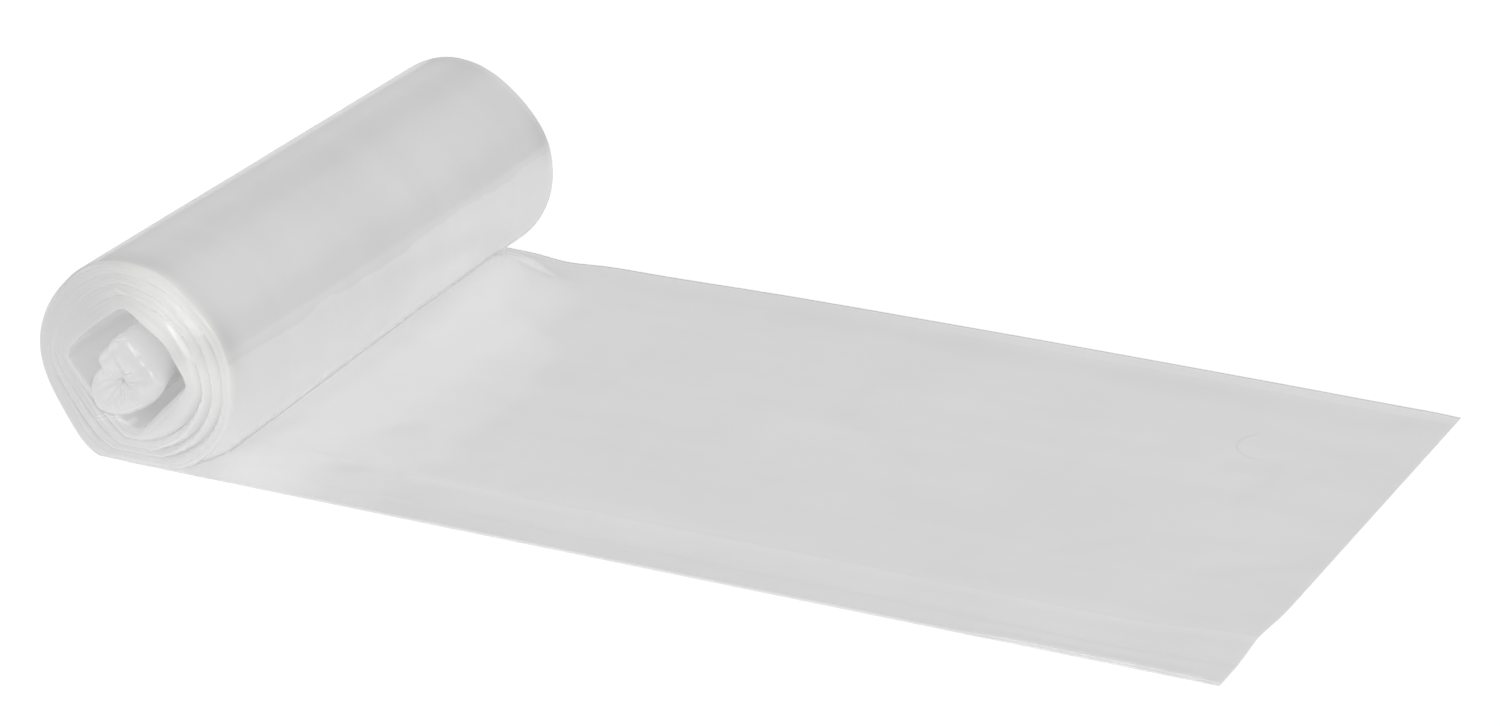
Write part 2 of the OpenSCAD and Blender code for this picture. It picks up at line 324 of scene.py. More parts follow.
@dataclass(frozen=True)
class Tail:
    """The crumpled inner tail of the web, which leans in the hollow. Millimetres and degrees.

    Its near end is folded in over itself to a soft lump with a dimple.

    Args:
        turns: Turns of the tail.
        width: Width of the curl.
        height: Height of the curl.
        crumple: Depth of the crumples round the curl.
        puff: Thickness of the loose film where the wall starts.
        lean: Direction of the curl's height.
        clearance: Gap between the curl and the hollow's side that it rests on.
        core: Size of the innermost turn, as a share of the outer one.
        crumples: Number of crumples in a turn.
        fold_len: Length of film that is folded in.
        fold_hole: Size of the hole in the middle of the fold, as a share of its reach.
        fold_front: How far the fold lies behind the roll's end.
        fold_tilt: How much further back it lies for each millimetre up.
        fold_lean: Direction that counts as up for that.
        fold_round: How far the fold's rim is rounded back.
        fold_from: Turns before the wall over which the folded film starts.
        fold_to: Turns before the wall over which it ends.
        dimple: Depth of the dimple.
        bulge: How far the fold stands out round the dimple.
        hole: Middle of the dimple, from the curl's middle.
        front: Reach of the fold in each direction from the dimple.
        flare: Length over which the fold widens into the curl.
        flare_least: The same on the side away from the lean.
        layer: Distance between the fold's two layers.
        layer_from: Turns before the wall over which the second layer starts.
        shrink_first: How much sooner than evenly the curl gets smaller.
        tuck: How far the inner turn lies behind the fold.
        pleat: Depth of the pleats to the front.
        pleat_depth: Depth of the pleats to the side, as a share of the fold's reach.
        thin: Thickness left at the fold's edge, as a share of the film's.
    """

    turns: float = 2.0
    width: float = 24.0
    height: float = 31.0
    crumple: float = 0.9
    puff: float = 2.2
    lean: float = 78.0
    clearance: float = 0.6
    core: float = 0.25
    crumples: int = 5
    fold_len: float = 11.0
    fold_hole: float = 0.06
    fold_front: float = 0.4
    fold_tilt: float = 0.17
    fold_lean: float = 49.0
    fold_round: float = 2.0
    fold_from: Pair = (0.06, 0.26)
    fold_to: Pair = (1.32, 1.5)
    dimple: float = 2.4
    bulge: float = 1.2
    hole: Pair = (-2.9, -4.5)
    front: Stops = (
        (4, 16.0), (38, 13.0), (60, 13.2), (88, 17.4), (116, 13.0), (160, 10.8), (196, 14.4), (229, 15.0),
        (263, 12.2), (300, 11.2), (325, 12.2),
    )
    flare: float = 16.0
    flare_least: float = 6.0
    layer: float = 1.3
    layer_from: Pair = (0.9, 1.15)
    shrink_first: float = 0.22
    tuck: float = 9.0
    pleat: float = 1.0
    pleat_depth: float = 0.14
    thin: float = 0.35

    def centre(self, winding: Winding) -> Pair:
        """Return the x from the axis and the height of the tail's middle."""
        seat = next(s.distance for s in winding.hollow_sides if s.direction == winding.tail_dir)
        along = self.height * cosine(self.lean - winding.tail_dir)
        across = self.width * sine(self.lean - winding.tail_dir)
        drop = seat - self.clearance - math.hypot(along, across) / 2.0 - self.crumple
        return drop * cosine(winding.tail_dir), winding.axis_height + drop * sine(winding.tail_dir)

    def point(self, winding: Winding, turn: np.ndarray) -> tuple[np.ndarray, np.ndarray]:
        """Return the x from the axis and the height of the curl's film.

        Args:
            winding: The wall round the hollow.
            turn: Turn numbers, below 0 in the tail.
        """
        angle = winding.turn_angle(turn) - self.lean
        size = mix(self.core, 1.0, 1.0 + turn / self.turns)
        size = size + self.shrink_first * np.sin(-math.pi * turn / self.turns)
        fold = self.crumple * size * sine(self.crumples * angle)
        along = ((self.height - self.puff) / 2.0 + fold) * size * cosine(angle)
        across = ((self.width - self.puff) / 2.0 + fold) * size * sine(angle)
        x, z = self.centre(winding)
        return (
            x + along * cosine(self.lean) - across * sine(self.lean),
            z + along * sine(self.lean) + across * cosine(self.lean),
        )

    def spread(
        self, winding: Winding, turn: np.ndarray, across: np.ndarray, straight: np.ndarray,
    ) -> tuple[np.ndarray, np.ndarray]:
        """Return the middle of the tail's film, and the share of its thickness that is left.

        Args:
            winding: The wall round the hollow.
            turn: Turn numbers, as a column.
            across: Distances from the near edge, as a row.
            straight: The y of each point of a tail that isn't folded in.

        Returns:
            Points as stations, rows and x, y, z, and one share for each of them.
        """
        t, w = np.broadcast_arrays(turn, across)
        folded = self.folded(t)
        q = np.clip(w / self.fold_len, 0.0, 1.0)
        angle = winding.turn_angle(t)
        tube_x, tube_z = self.point(winding, np.minimum(t, 0.0))
        x0, z0 = self.centre(winding)
        hole_x, hole_z = x0 + self.hole[0], z0 + self.hole[1]
        behind = self.layer * ramp(-t, *self.layer_from)
        reach = between(angle, self.front, 360.0) - behind
        pleats = 0.7 - 2.0 * np.abs(cloud(angle / 30.0, 2.5 * q, 8.3))
        pleats = pleats + 0.4 * cloud(angle / 11.0, 3.0 * q, 5.7)
        closed = mix(self.fold_hole, 1.0, q ** 0.85) + self.pleat_depth * pleats * q * (1.0 - q)
        out = facing(angle, self.fold_lean + 180.0) ** 3
        flare = ramp(w, self.fold_len, self.fold_len + mix(self.flare, self.flare_least, out))
        flare = mix(1.0, flare, folded)
        x = mix(hole_x + reach * closed * cosine(angle), tube_x, flare)
        z = mix(hole_z + reach * closed * sine(angle), tube_z, flare)
        up = (x - hole_x) * cosine(self.fold_lean) + (z - hole_z) * sine(self.fold_lean)
        front = self.fold_front + self.fold_tilt * up + behind + self.fold_round * q ** 6
        front = front + self.dimple * (1.0 - q) ** 3 - self.bulge * np.sin(math.pi * q)
        front = front + self.pleat * pleats * np.sin(math.pi * q ** 0.7)
        past = np.clip((w - self.fold_len) / (across.max() - self.fold_len), 0.0, 1.0)
        y = front + (straight[:, -1:] - front) * past
        y = mix(straight, y, folded)
        return np.stack([x, y, z], axis=2), mix(1.0, mix(self.thin, 1.0, q), folded)

    def folded(self, turn: np.ndarray) -> np.ndarray:
        """Return 1 where the outer turn of the tail is folded in over its near end, and 0 elsewhere."""
        return ramp(-turn, *self.fold_from) * (1.0 - self.tucked(turn))

    def tucked(self, turn: np.ndarray) -> np.ndarray:
        """Return 1 where the inner turn of the tail lies back behind that fold."""
        return ramp(-turn, *self.fold_to)

    def thickness(self, winding: Winding, turn: np.ndarray) -> np.ndarray:
        """Return the thickness of the loose film in the tail."""
        return mix(winding.film, self.puff, smooth((turn + self.turns) / self.turns))


@dataclass(frozen=True)
class Ends:
    """How the web's two edges are drawn in at the ends of the roll, in millimetres.

    The turns make up soft ridges, a few turns each, with grooves between them.

    Args:
        rings_a_ridge: Turns in a ridge.
        ridges: Number of ridges, counted from the hollow.
        groove_depth: Depth of the grooves on their deepest side.
        groove_dir: Direction of that side at the near end.
        rounding: How far the outermost turn's edge is rounded back.
        rounding_dir: Direction in which it is rounded most.
        rounding_least: Share of that rounding on the opposite side.
        groove_open: How far the film keeps away from a groove.
        open_reach: How deep in from the end it does so.
        wander: How far each turn's edge strays in or out.
        wander_least: Share of that on the side away from the grooves.
        closed: Share of the seams' gap that is closed at the ends.
        wander_rate: How often an edge strays in one turn.
        fold: How far an edge is rounded, as a share of the film's half thickness.
        fold_least: Share of that on the side away from the grooves.
    """

    rings_a_ridge: int = 3
    ridges: int = 4
    groove_depth: float = 4.4
    groove_dir: float = 330.0
    rounding: float = 1.8
    rounding_dir: float = 140.0
    rounding_least: float = 0.4
    groove_open: float = 0.3
    open_reach: float = 9.0
    wander: float = 0.4
    wander_least: float = 0.06
    closed: float = 0.7
    wander_rate: float = 5.0
    fold: float = 0.12
    fold_least: float = 0.2

    def seam(self, end: End) -> float:
        """Return the direction in which the grooves run out, opposite to their deepest side."""
        return self.groove_dir + 180.0 + end.value

    def ring(self, winding: Winding, turn: np.ndarray, end: End) -> np.ndarray:
        """Return the number of a turn, counted outwards, which stays the same for one whole round."""
        start = winding.turn_angle(np.array(0.0)) - self.seam(end)
        past = winding.turn_angle(turn) - self.seam(end)
        return turn - (past % 360.0) / 360.0 + (start % 360.0) / 360.0

    def depth(self, angle: np.ndarray, end: End) -> np.ndarray:
        """Return the depth of the grooves in a direction."""
        return self.groove_depth * facing(angle, self.groove_dir + end.value)

    def drawn(self, winding: Winding, turn: np.ndarray, side: np.ndarray | float, end: End) -> np.ndarray:
        """Return how far the web's edge lies behind the roll's end.

        Args:
            winding: The wall that the edge belongs to.
            turn: Turn numbers.
            side: Place across the film's thickness, -1 outside and 1 inside.
            end: The end of the roll.
        """
        angle = winding.turn_angle(turn)
        place = (self.ring(winding, turn, end) + 0.5 - np.asarray(side) / 2.0) / self.rings_a_ridge
        last = self.ridges - 0.5
        dome = np.where(place < last, 1.0 - np.abs(np.sin(math.pi * place)), 0.0)
        outermost = ramp(winding.turns - turn, 1.05, 0.85) * ((1.0 - np.asarray(side)) / 2.0) ** 2
        shoulder = mix(self.rounding_least, 1.0, facing(angle, self.rounding_dir + end.value))
        return self.depth(angle, end) * dome + self.rounding * outermost * shoulder

    def strayed(self, winding: Winding, turn: np.ndarray, end: End) -> np.ndarray:
        """Return how far each turn's edge strays in or out by itself."""
        angle = winding.turn_angle(turn)
        most = self.wander * mix(self.wander_least, 1.0, facing(angle, self.groove_dir + end.value))
        return most * (cloud(turn * self.wander_rate, turn * 0.0, end.value + 3.7) + 0.3)

    def opened(self, winding: Winding, turn: np.ndarray, side: int, end: End) -> np.ndarray:
        """Return how far one face of the film keeps away from the groove beside it."""
        ring = np.floor(self.ring(winding, turn, end) + 0.5)
        at_groove = (ring + (1 if side < 0 else 0)) % self.rings_a_ridge == 0
        inside = (ring + (1 if side < 0 else 0) > 0) & (ring < self.ridges * self.rings_a_ridge - 1)
        share = facing(winding.turn_angle(turn), self.groove_dir + end.value)
        return self.groove_open * share * (at_groove & inside)


@dataclass(frozen=True)
class Crease:
    """One soft fold of the free stretch, with painted light and shade on it; one of height 0 is only a
    painted patch.

    Args:
        x: Middle of the fold, in millimetres from the roll's axis.
        y: Middle of the fold, in millimetres from the near edge.
        angle: Direction of the fold, in degrees from the long way of the sheet.
        length: Length over which the fold shows.
        width: Width of the fold.
        height: Height of the fold, below 0 for a dip.
        tone: Painted light on the fold, below 0 for painted shade.
    """

    x: float
    y: float
    angle: float
    length: float
    width: float
    height: float
    tone: float

    def spread(self, x: np.ndarray, y: np.ndarray) -> np.ndarray:
        """Return how strongly the fold shows at each point, from 0 to 1."""
        along = (x - self.x) * cosine(self.angle) + (y - self.y) * sine(self.angle)
        across = (y - self.y) * cosine(self.angle) - (x - self.x) * sine(self.angle)
        return np.exp(-(2.0 * along / self.length) ** 4 - (2.0 * across / self.width) ** 2)


# Folds of the free stretch; the last column is painted light, below 0 painted shade, and rows of height 0 are
# only painted patches.
CREASES: tuple[Crease, ...] = (
    Crease(237, 138, -34, 60, 10, -0.3, -0.03),
    Crease(214, 175, 90, 56, 9, 0.4, -0.025),
    Crease(122, 155, 91, 50, 9, 0.4, -0.03),
    Crease(379, 157, 90, 42, 9, 0.5, -0.035),
    Crease(369, 168, 27, 26, 7, 0.3, -0.02),
    Crease(406, 91, 34, 46, 10, 0.5, -0.04),
    Crease(347, 85, 42, 44, 6, 0.4, -0.02),
    Crease(415, 237, 25, 34, 14, 0.3, -0.06),
    Crease(288, 82, -35, 34, 18, 0.2, -0.015),
    Crease(240, 232, 0, 330, 15, 0.0, -0.05),
    Crease(370, 246, 0, 90, 10, 0.0, 0.035),
    Crease(66, 158, 90, 170, 36, 0.0, 0.03),
    Crease(30, 110, 90, 240, 20, 0.0, -0.12),
    Crease(58, 244, -10, 40, 8, 0.0, -0.02),
    Crease(330, 5, 0, 240, 13, 0.0, 0.045),
    Crease(156, 146, 10, 60, 30, 0.2, 0.012),
    Crease(232, 176, 20, 70, 26, 0.2, 0.012),
    Crease(358, 176, 60, 30, 12, 0.3, 0.015),
    Crease(300, 150, 5, 160, 22, 0.2, 0.008),
    Crease(318, 122, 155, 70, 16, 0.3, -0.008),
    Crease(58, 27, 22, 66, 6, 0.6, 0.05),
    Crease(40, 14, 24, 40, 4, 0.5, 0.05),
    Crease(36, 46, 62, 56, 10, -0.4, -0.035),
    Crease(60, 58, 58, 60, 12, 0.3, 0.02),
    Crease(24, 226, -24, 24, 3.5, 0.4, -0.07),
    Crease(84, 47, 18, 40, 7, 0.3, 0.015),
)


@dataclass(frozen=True)
class GlintStroke:
    """One short painted highlight, a glint on a fold's crest at the roll's near end, in millimetres.

    Args:
        start: Its start, as the x from the roll's axis and the height.
        end: Its end.
        width: Width of the line.
    """

    start: Pair
    end: Pair
    width: float


# Painted highlights on the roll's near end: glints on fold crests, and two wide patches of painted sheen at
# its upper right.
GLINT_STROKES: tuple[GlintStroke, ...] = (
    GlintStroke((-9.4, 46.9), (-5.1, 48.0), 0.58),
    GlintStroke((-3.8, 46.6), (0.4, 42.6), 0.73),
    GlintStroke((-7.6, 28.6), (-10.3, 23.8), 0.42),
    GlintStroke((-6.1, 29.3), (-8.4, 25.9), 0.31),
    GlintStroke((-9.2, 23.3), (-8.9, 21.9), 0.63),
    GlintStroke((-6.6, 25.1), (-6.5, 23.8), 0.73),
    GlintStroke((-6.9, 19.7), (2.3, 24.1), 0.37),
    GlintStroke((-17.5, 16.1), (-9.4, 17.4), 0.37),
    GlintStroke((-17.5, 14.8), (-9.3, 16.3), 0.31),
    GlintStroke((-8.4, 16.1), (-4.9, 13.8), 0.63),
    GlintStroke((1.7, 74.3), (7.4, 72.6), 0.26),
    GlintStroke((-6.5, 68.7), (-2.8, 66.7), 0.31),
    GlintStroke((0.4, 65.1), (4.4, 63.7), 0.37),
    GlintStroke((4.7, 52.9), (7.1, 51.3), 0.52),
    GlintStroke((7.3, 50.8), (14.0, 41.9), 0.37),
    GlintStroke((14.7, 58.1), (25.0, 43.1), 2.6),
    GlintStroke((17.8, 66.0), (28.1, 56.4), 2.6),
)


@dataclass(frozen=True)
class Stretch:
    """The free stretch of the web, which lies on the floor. Millimetres.

    Distances x are measured from the roll's axis, and y from the near edge.

    Args:
        cad_reach: The x of the CAD's free end.
        reach: The x of the free end.
        lift: Height of the soft rise beside the roll.
        lift_start: The x up to which the rise is highest.
        lift_end: The x at which it has run out.
        lift_low: Share of its height that it has towards the near edge.
        lift_near: Share of the width over which it begins at the near edge.
        lift_far: Shares of the width between which it grows to its full height.
        lobe_from: Share of the width from which it falls to the far edge.
        lobe_len: Share of its length that is left at the far edge.
        curl: Height of the curl along the far edge.
        curl_width: Width of that curl.
        curl_run: Shares of the reach between which it begins, and between which it ends.
        skew: How much shorter the stretch is at the near edge.
        notch: Depth of the notch in the free end.
        notch_y: Its y.
        notch_width: Its width.
        notch_from: Share of the reach from which it is cut in.
        near_out: How far the near edge runs out towards the free end.
        far_in: How far the far edge runs in towards it.
        far_from: The x from which it does so.
        far_corner: Depth and length of the rounded far corner.
        waists: Where else the far edge is drawn in, as x, length and depth.
        draw_fade: Length over which the edges leave the lines of the roll's ends.
        hem: Width of the hem along the near edge.
        hem_turned: How far the hem's lines turn away from the edge at the free end.
        hem_turn_from: Share of the reach from which they do so.
        hem_inner: The y of the line inside the hem.
        hem_thick: How much thicker the hem is.
        hem_line: Width of the hem's lines.
        lip_run: Distances x between which the near edge's layers open.
        lip_open: How far they open.
        lip_deep: How deep the gap between them is.
        ripple: Height of the ripples.
        under_roll: Gap between the stretch and the roll above it.
        hem_tone: How much paler the hem's band looks; it also scales the painted highlight and painted shade
            of its lines.
        hem_highlight_and_shade: Share for the painted highlight on the hem's edge, and share for the painted
            shade on its inner line.
        plain_light: How much paler the painted light makes the film away from the roll.
        plain_run: Distances x between which that painted light grows.
        rim_highlight: How much paler the painted highlight makes the far edge.
        rim_more: How much more so its very edge, as a share.
        rim_run: Distances x between which the far edge's painted highlight grows.
        lobe_light: How much paler the painted light makes the rise beside the roll.
        lobe_reach: The x at which that ends.
        lobe_round: Width over which its end is rounded at the far edge.
        lobe_soft: Length over which it ends.
    """

    cad_reach: float = 422.0
    reach: float = 424.8
    lift: float = 12.6
    lift_start: float = 26.0
    lift_end: float = 84.0
    lift_low: float = 0.48
    lift_near: float = 0.06
    lift_far: Pair = (0.68, 0.86)
    lobe_from: float = 0.84
    lobe_len: float = 0.5
    curl: float = 0.4
    curl_width: float = 25.0
    curl_run: tuple[Pair, Pair] = ((0.15, 0.35), (0.8, 1.0))
    skew: float = 3.1
    notch: float = 1.5
    notch_y: float = 35.0
    notch_width: float = 14.0
    notch_from: float = 0.95
    near_out: float = 1.9
    far_in: float = 2.2
    far_from: float = 230.0
    far_corner: Pair = (0.8, 12.0)
    waists: tuple[tuple[float, float, float], ...] = ((49.0, 13.0, 3.2), (90.0, 45.0, 1.5))
    draw_fade: float = 60.0
    hem: float = 33.0
    hem_turned: float = 7.0
    hem_turn_from: float = 0.88
    hem_inner: float = 13.0
    hem_thick: float = 0.3
    hem_line: float = 1.4
    lip_run: Pair = (325.0, 350.0)
    lip_open: float = 0.8
    lip_deep: float = 1.6
    ripple: float = 0.35
    under_roll: float = 0.7
    # Painted light and shade on the sheet: the hem's lines, the plain film, the far edge and the rise.
    hem_tone: float = 0.055
    hem_highlight_and_shade: Pair = (0.9, 0.7)
    plain_light: float = 0.018
    plain_run: Pair = (60.0, 150.0)
    rim_highlight: float = 0.05
    rim_more: float = 1.6
    rim_run: Pair = (150.0, 240.0)
    lobe_light: float = 0.075
    lobe_reach: float = 80.0
    lobe_round: float = 36.0
    lobe_soft: float = 10.0

    def hem_shift(self, x: np.ndarray, y: np.ndarray) -> np.ndarray:
        """Return how far the hem's lines move away from the near edge towards the free end."""
        near = np.clip(y / self.hem, 0.0, 1.0) * np.clip((3.0 - y / self.hem) / 2.0, 0.0, 1.0)
        return self.hem_turned * near * ramp(x / self.reach, self.hem_turn_from, 1.0)

    def lifted(self, x: np.ndarray, share: np.ndarray) -> np.ndarray:
        """Return the height of the soft rise beside the roll."""
        lobe = ramp(share, self.lobe_from, 1.0)
        length = (self.lift_end - self.lift_start) * mix(1.0, self.lobe_len, lobe)
        height = self.lift * mix(self.lift_low, 1.0, ramp(share, *self.lift_far))
        height = height * ramp(share, 0.0, self.lift_near) * (1.0 - lobe)
        return height * (1.0 - ramp((x - self.lift_start) / length, 0.0, 1.0))

    def drawn_far(self, x: np.ndarray) -> np.ndarray:
        """Return how far the far edge is drawn in towards the free end."""
        depth, length = self.far_corner
        corner = depth * ramp(x, self.reach - length, self.reach)
        waist = sum(depth * bell(x, place, length) for place, length, depth in self.waists)
        return waist + self.far_in * ramp(x, self.far_from, self.reach) + corner

    def curled(self, x: np.ndarray, y: np.ndarray, width: float) -> np.ndarray:
        """Return the height of the curl along the far edge."""
        start, end = self.curl_run
        along = ramp(x / self.reach, *start) * (1.0 - ramp(x / self.reach, *end))
        return self.curl * along * np.clip((y - width + self.curl_width) / self.curl_width, 0.0, 1.0) ** 2

    def height(self, x: np.ndarray, y: np.ndarray, width: float) -> np.ndarray:
        """Return the height of the film's underside above the floor, where nothing holds it down.

        Args:
            x: Distances from the roll's axis.
            y: Distances from the near edge.
            width: Width of the web.
        """
        low = np.minimum(y, width - y)
        calm = ramp(x, 18.0, 40.0) * ramp(low, 0.0, 20.0) * (1.0 - ramp(x, self.reach - 18.0, self.reach))
        wavy = self.ripple * (cloud(x / 34.0, y / 24.0, 1.3) + 0.5 * cloud(x / 15.0, y / 13.0, 5.1) + 0.45)
        folds = sum(c.height * c.spread(x, y) for c in CREASES)
        edge = 1.0 - ramp(x, self.reach - 8.0, self.reach)
        total = self.lifted(x, y / width) + self.curled(x, y, width) + calm * wavy + edge * folds
        return np.maximum(total, 0.0)

    def tone(self, x: np.ndarray, y: np.ndarray, width: float) -> np.ndarray:
        """Return the painted light at each point, below 0 for painted shade, with the hem's paler band."""
        # Painted light and shade: the folds' patches, the hem's band and lines, the far edge's highlight and
        # the lit rise by the roll.
        folds = sum(c.tone * c.spread(x, y) for c in CREASES)
        pale, dark = self.hem_highlight_and_shade
        line = bell(y, self.hem - 0.5, 1.5) - dark * bell(y, self.hem_inner - 0.5, 1.4)
        band = ramp(y, self.hem_inner - 1.0, self.hem_inner + 2.0)
        band = band * (1.0 - ramp(y, self.hem - 1.0, self.hem + 1.0)) + pale * line
        plain = ramp(x, *self.plain_run) * (self.hem_tone * band + self.plain_light)
        rim = ramp(width - y, 9.0, 7.5) + self.rim_more * ramp(width - y, 2.0, 1.0)
        rim = self.rim_highlight * ramp(x, *self.rim_run) * rim
        reach = self.lobe_reach * np.sqrt(np.clip((width - 4.0 - y) / self.lobe_round, 0.0, 1.0))
        lobe = ramp(x, 20.0, 42.0) * (1.0 - ramp(x, reach - self.lobe_soft * mix(3.0, 1.0, y / width), reach))
        return folds + plain + rim + self.lobe_light * lobe

    def hemmed(self, x: np.ndarray, y: np.ndarray) -> np.ndarray:
        """Return the extra thickness of the film where it is folded over along the near edge."""
        rise = ramp(x, 30.0, 90.0)
        step = 1.0 - ramp(y, self.hem - self.hem_line / 2.0, self.hem + self.hem_line / 2.0)
        groove = 1.0 - 0.8 * bell(y, self.hem_inner, self.hem_line)
        return self.hem_thick * rise * step * groove

    def lip(self, x: np.ndarray) -> np.ndarray:
        """Return 1 where the near edge's layers stand open at the free end, and 0 elsewhere."""
        return ramp(x, *self.lip_run) * (1.0 - 0.6 * ramp(x, self.reach - 10.0, self.reach))


@dataclass(frozen=True)
class Rows:
    """Where the web has rows of points across its width, in millimetres from its edges.

    Args:
        near: Distances from the near edge, close to it.
        hem: Distances from it over the hem.
        far: Distances from the far edge.
        spacing: Space between the rows in the middle.
        hidden_step: One row in this many is kept where turn lies on turn.
    """

    near: tuple[float, ...] = (0.0, 0.5, 1.2, 2.1, 3.1, 4.2, 5.4, 6.7, 8.1, 9.6, 11.0)
    hem: tuple[float, ...] = (12.4, 13.8, 17.5, 22.5, 27.5, 32.3, 33.7, 38.0)
    far: tuple[float, ...] = (16.0, 9.4, 7.4, 4.5, 1.5, 0.0)
    spacing: float = 7.0
    hidden_step: int = 6

    def across(self, width: float) -> np.ndarray:
        """Return the distance of each row from the near edge."""
        start, end = self.hem[-1], width - self.far[0]
        count = round((end - start) / self.spacing)
        middle = np.linspace(start, end, count + 1)[1:-1]
        return np.concatenate([self.near, self.hem, middle, width - np.array(self.far)])

    def spared(self, width: float) -> np.ndarray:
        """Return which rows are left out where turn lies on turn, away from the roll's ends."""
        count = len(self.across(width))
        index = np.arange(count) - len(self.near) - 1
        middle = (index > 0) & (index < count - len(self.near) - len(self.far))
        return middle & (index % self.hidden_step != 0)


@dataclass(frozen=True)
class Stations:
    """How finely the web is divided along its length.

    Args:
        tail: Stations in a turn of the tail.
        wall: Stations in a turn of the wall.
        outermost: Stations in its outermost turn.
        free: Stations on the free stretch.
        free_spread: How much closer they are to each other near the roll.
        nose: Distances of the last ones from the free end, in millimetres.
    """

    tail: int = 110
    wall: int = 52
    outermost: int = 120
    free: int = 140
    free_spread: float = 1.35
    nose: tuple[float, ...] = (0.35, 0.12, 0.0)

    def turns(self, winding: Winding, tail: Tail) -> np.ndarray:
        """Return the turn number of each station on the roll."""
        last_full = winding.turns - 1.0
        inner = np.arange(-round(tail.turns * self.tail), 0) / self.tail
        wall = np.arange(0, round(last_full * self.wall)) / self.wall
        outer = np.linspace(wall[-1] + 1.0 / self.wall, winding.turns, self.outermost)
        return np.concatenate([inner, wall, outer])

    def lengths(self, stretch: Stretch) -> np.ndarray:
        """Return the distance from the axis of each station on the free stretch."""
        steps = np.arange(1, self.free + 1) / self.free
        run = stretch.reach * steps ** self.free_spread
        return np.concatenate([run[:-1], stretch.reach - np.array(self.nose)])


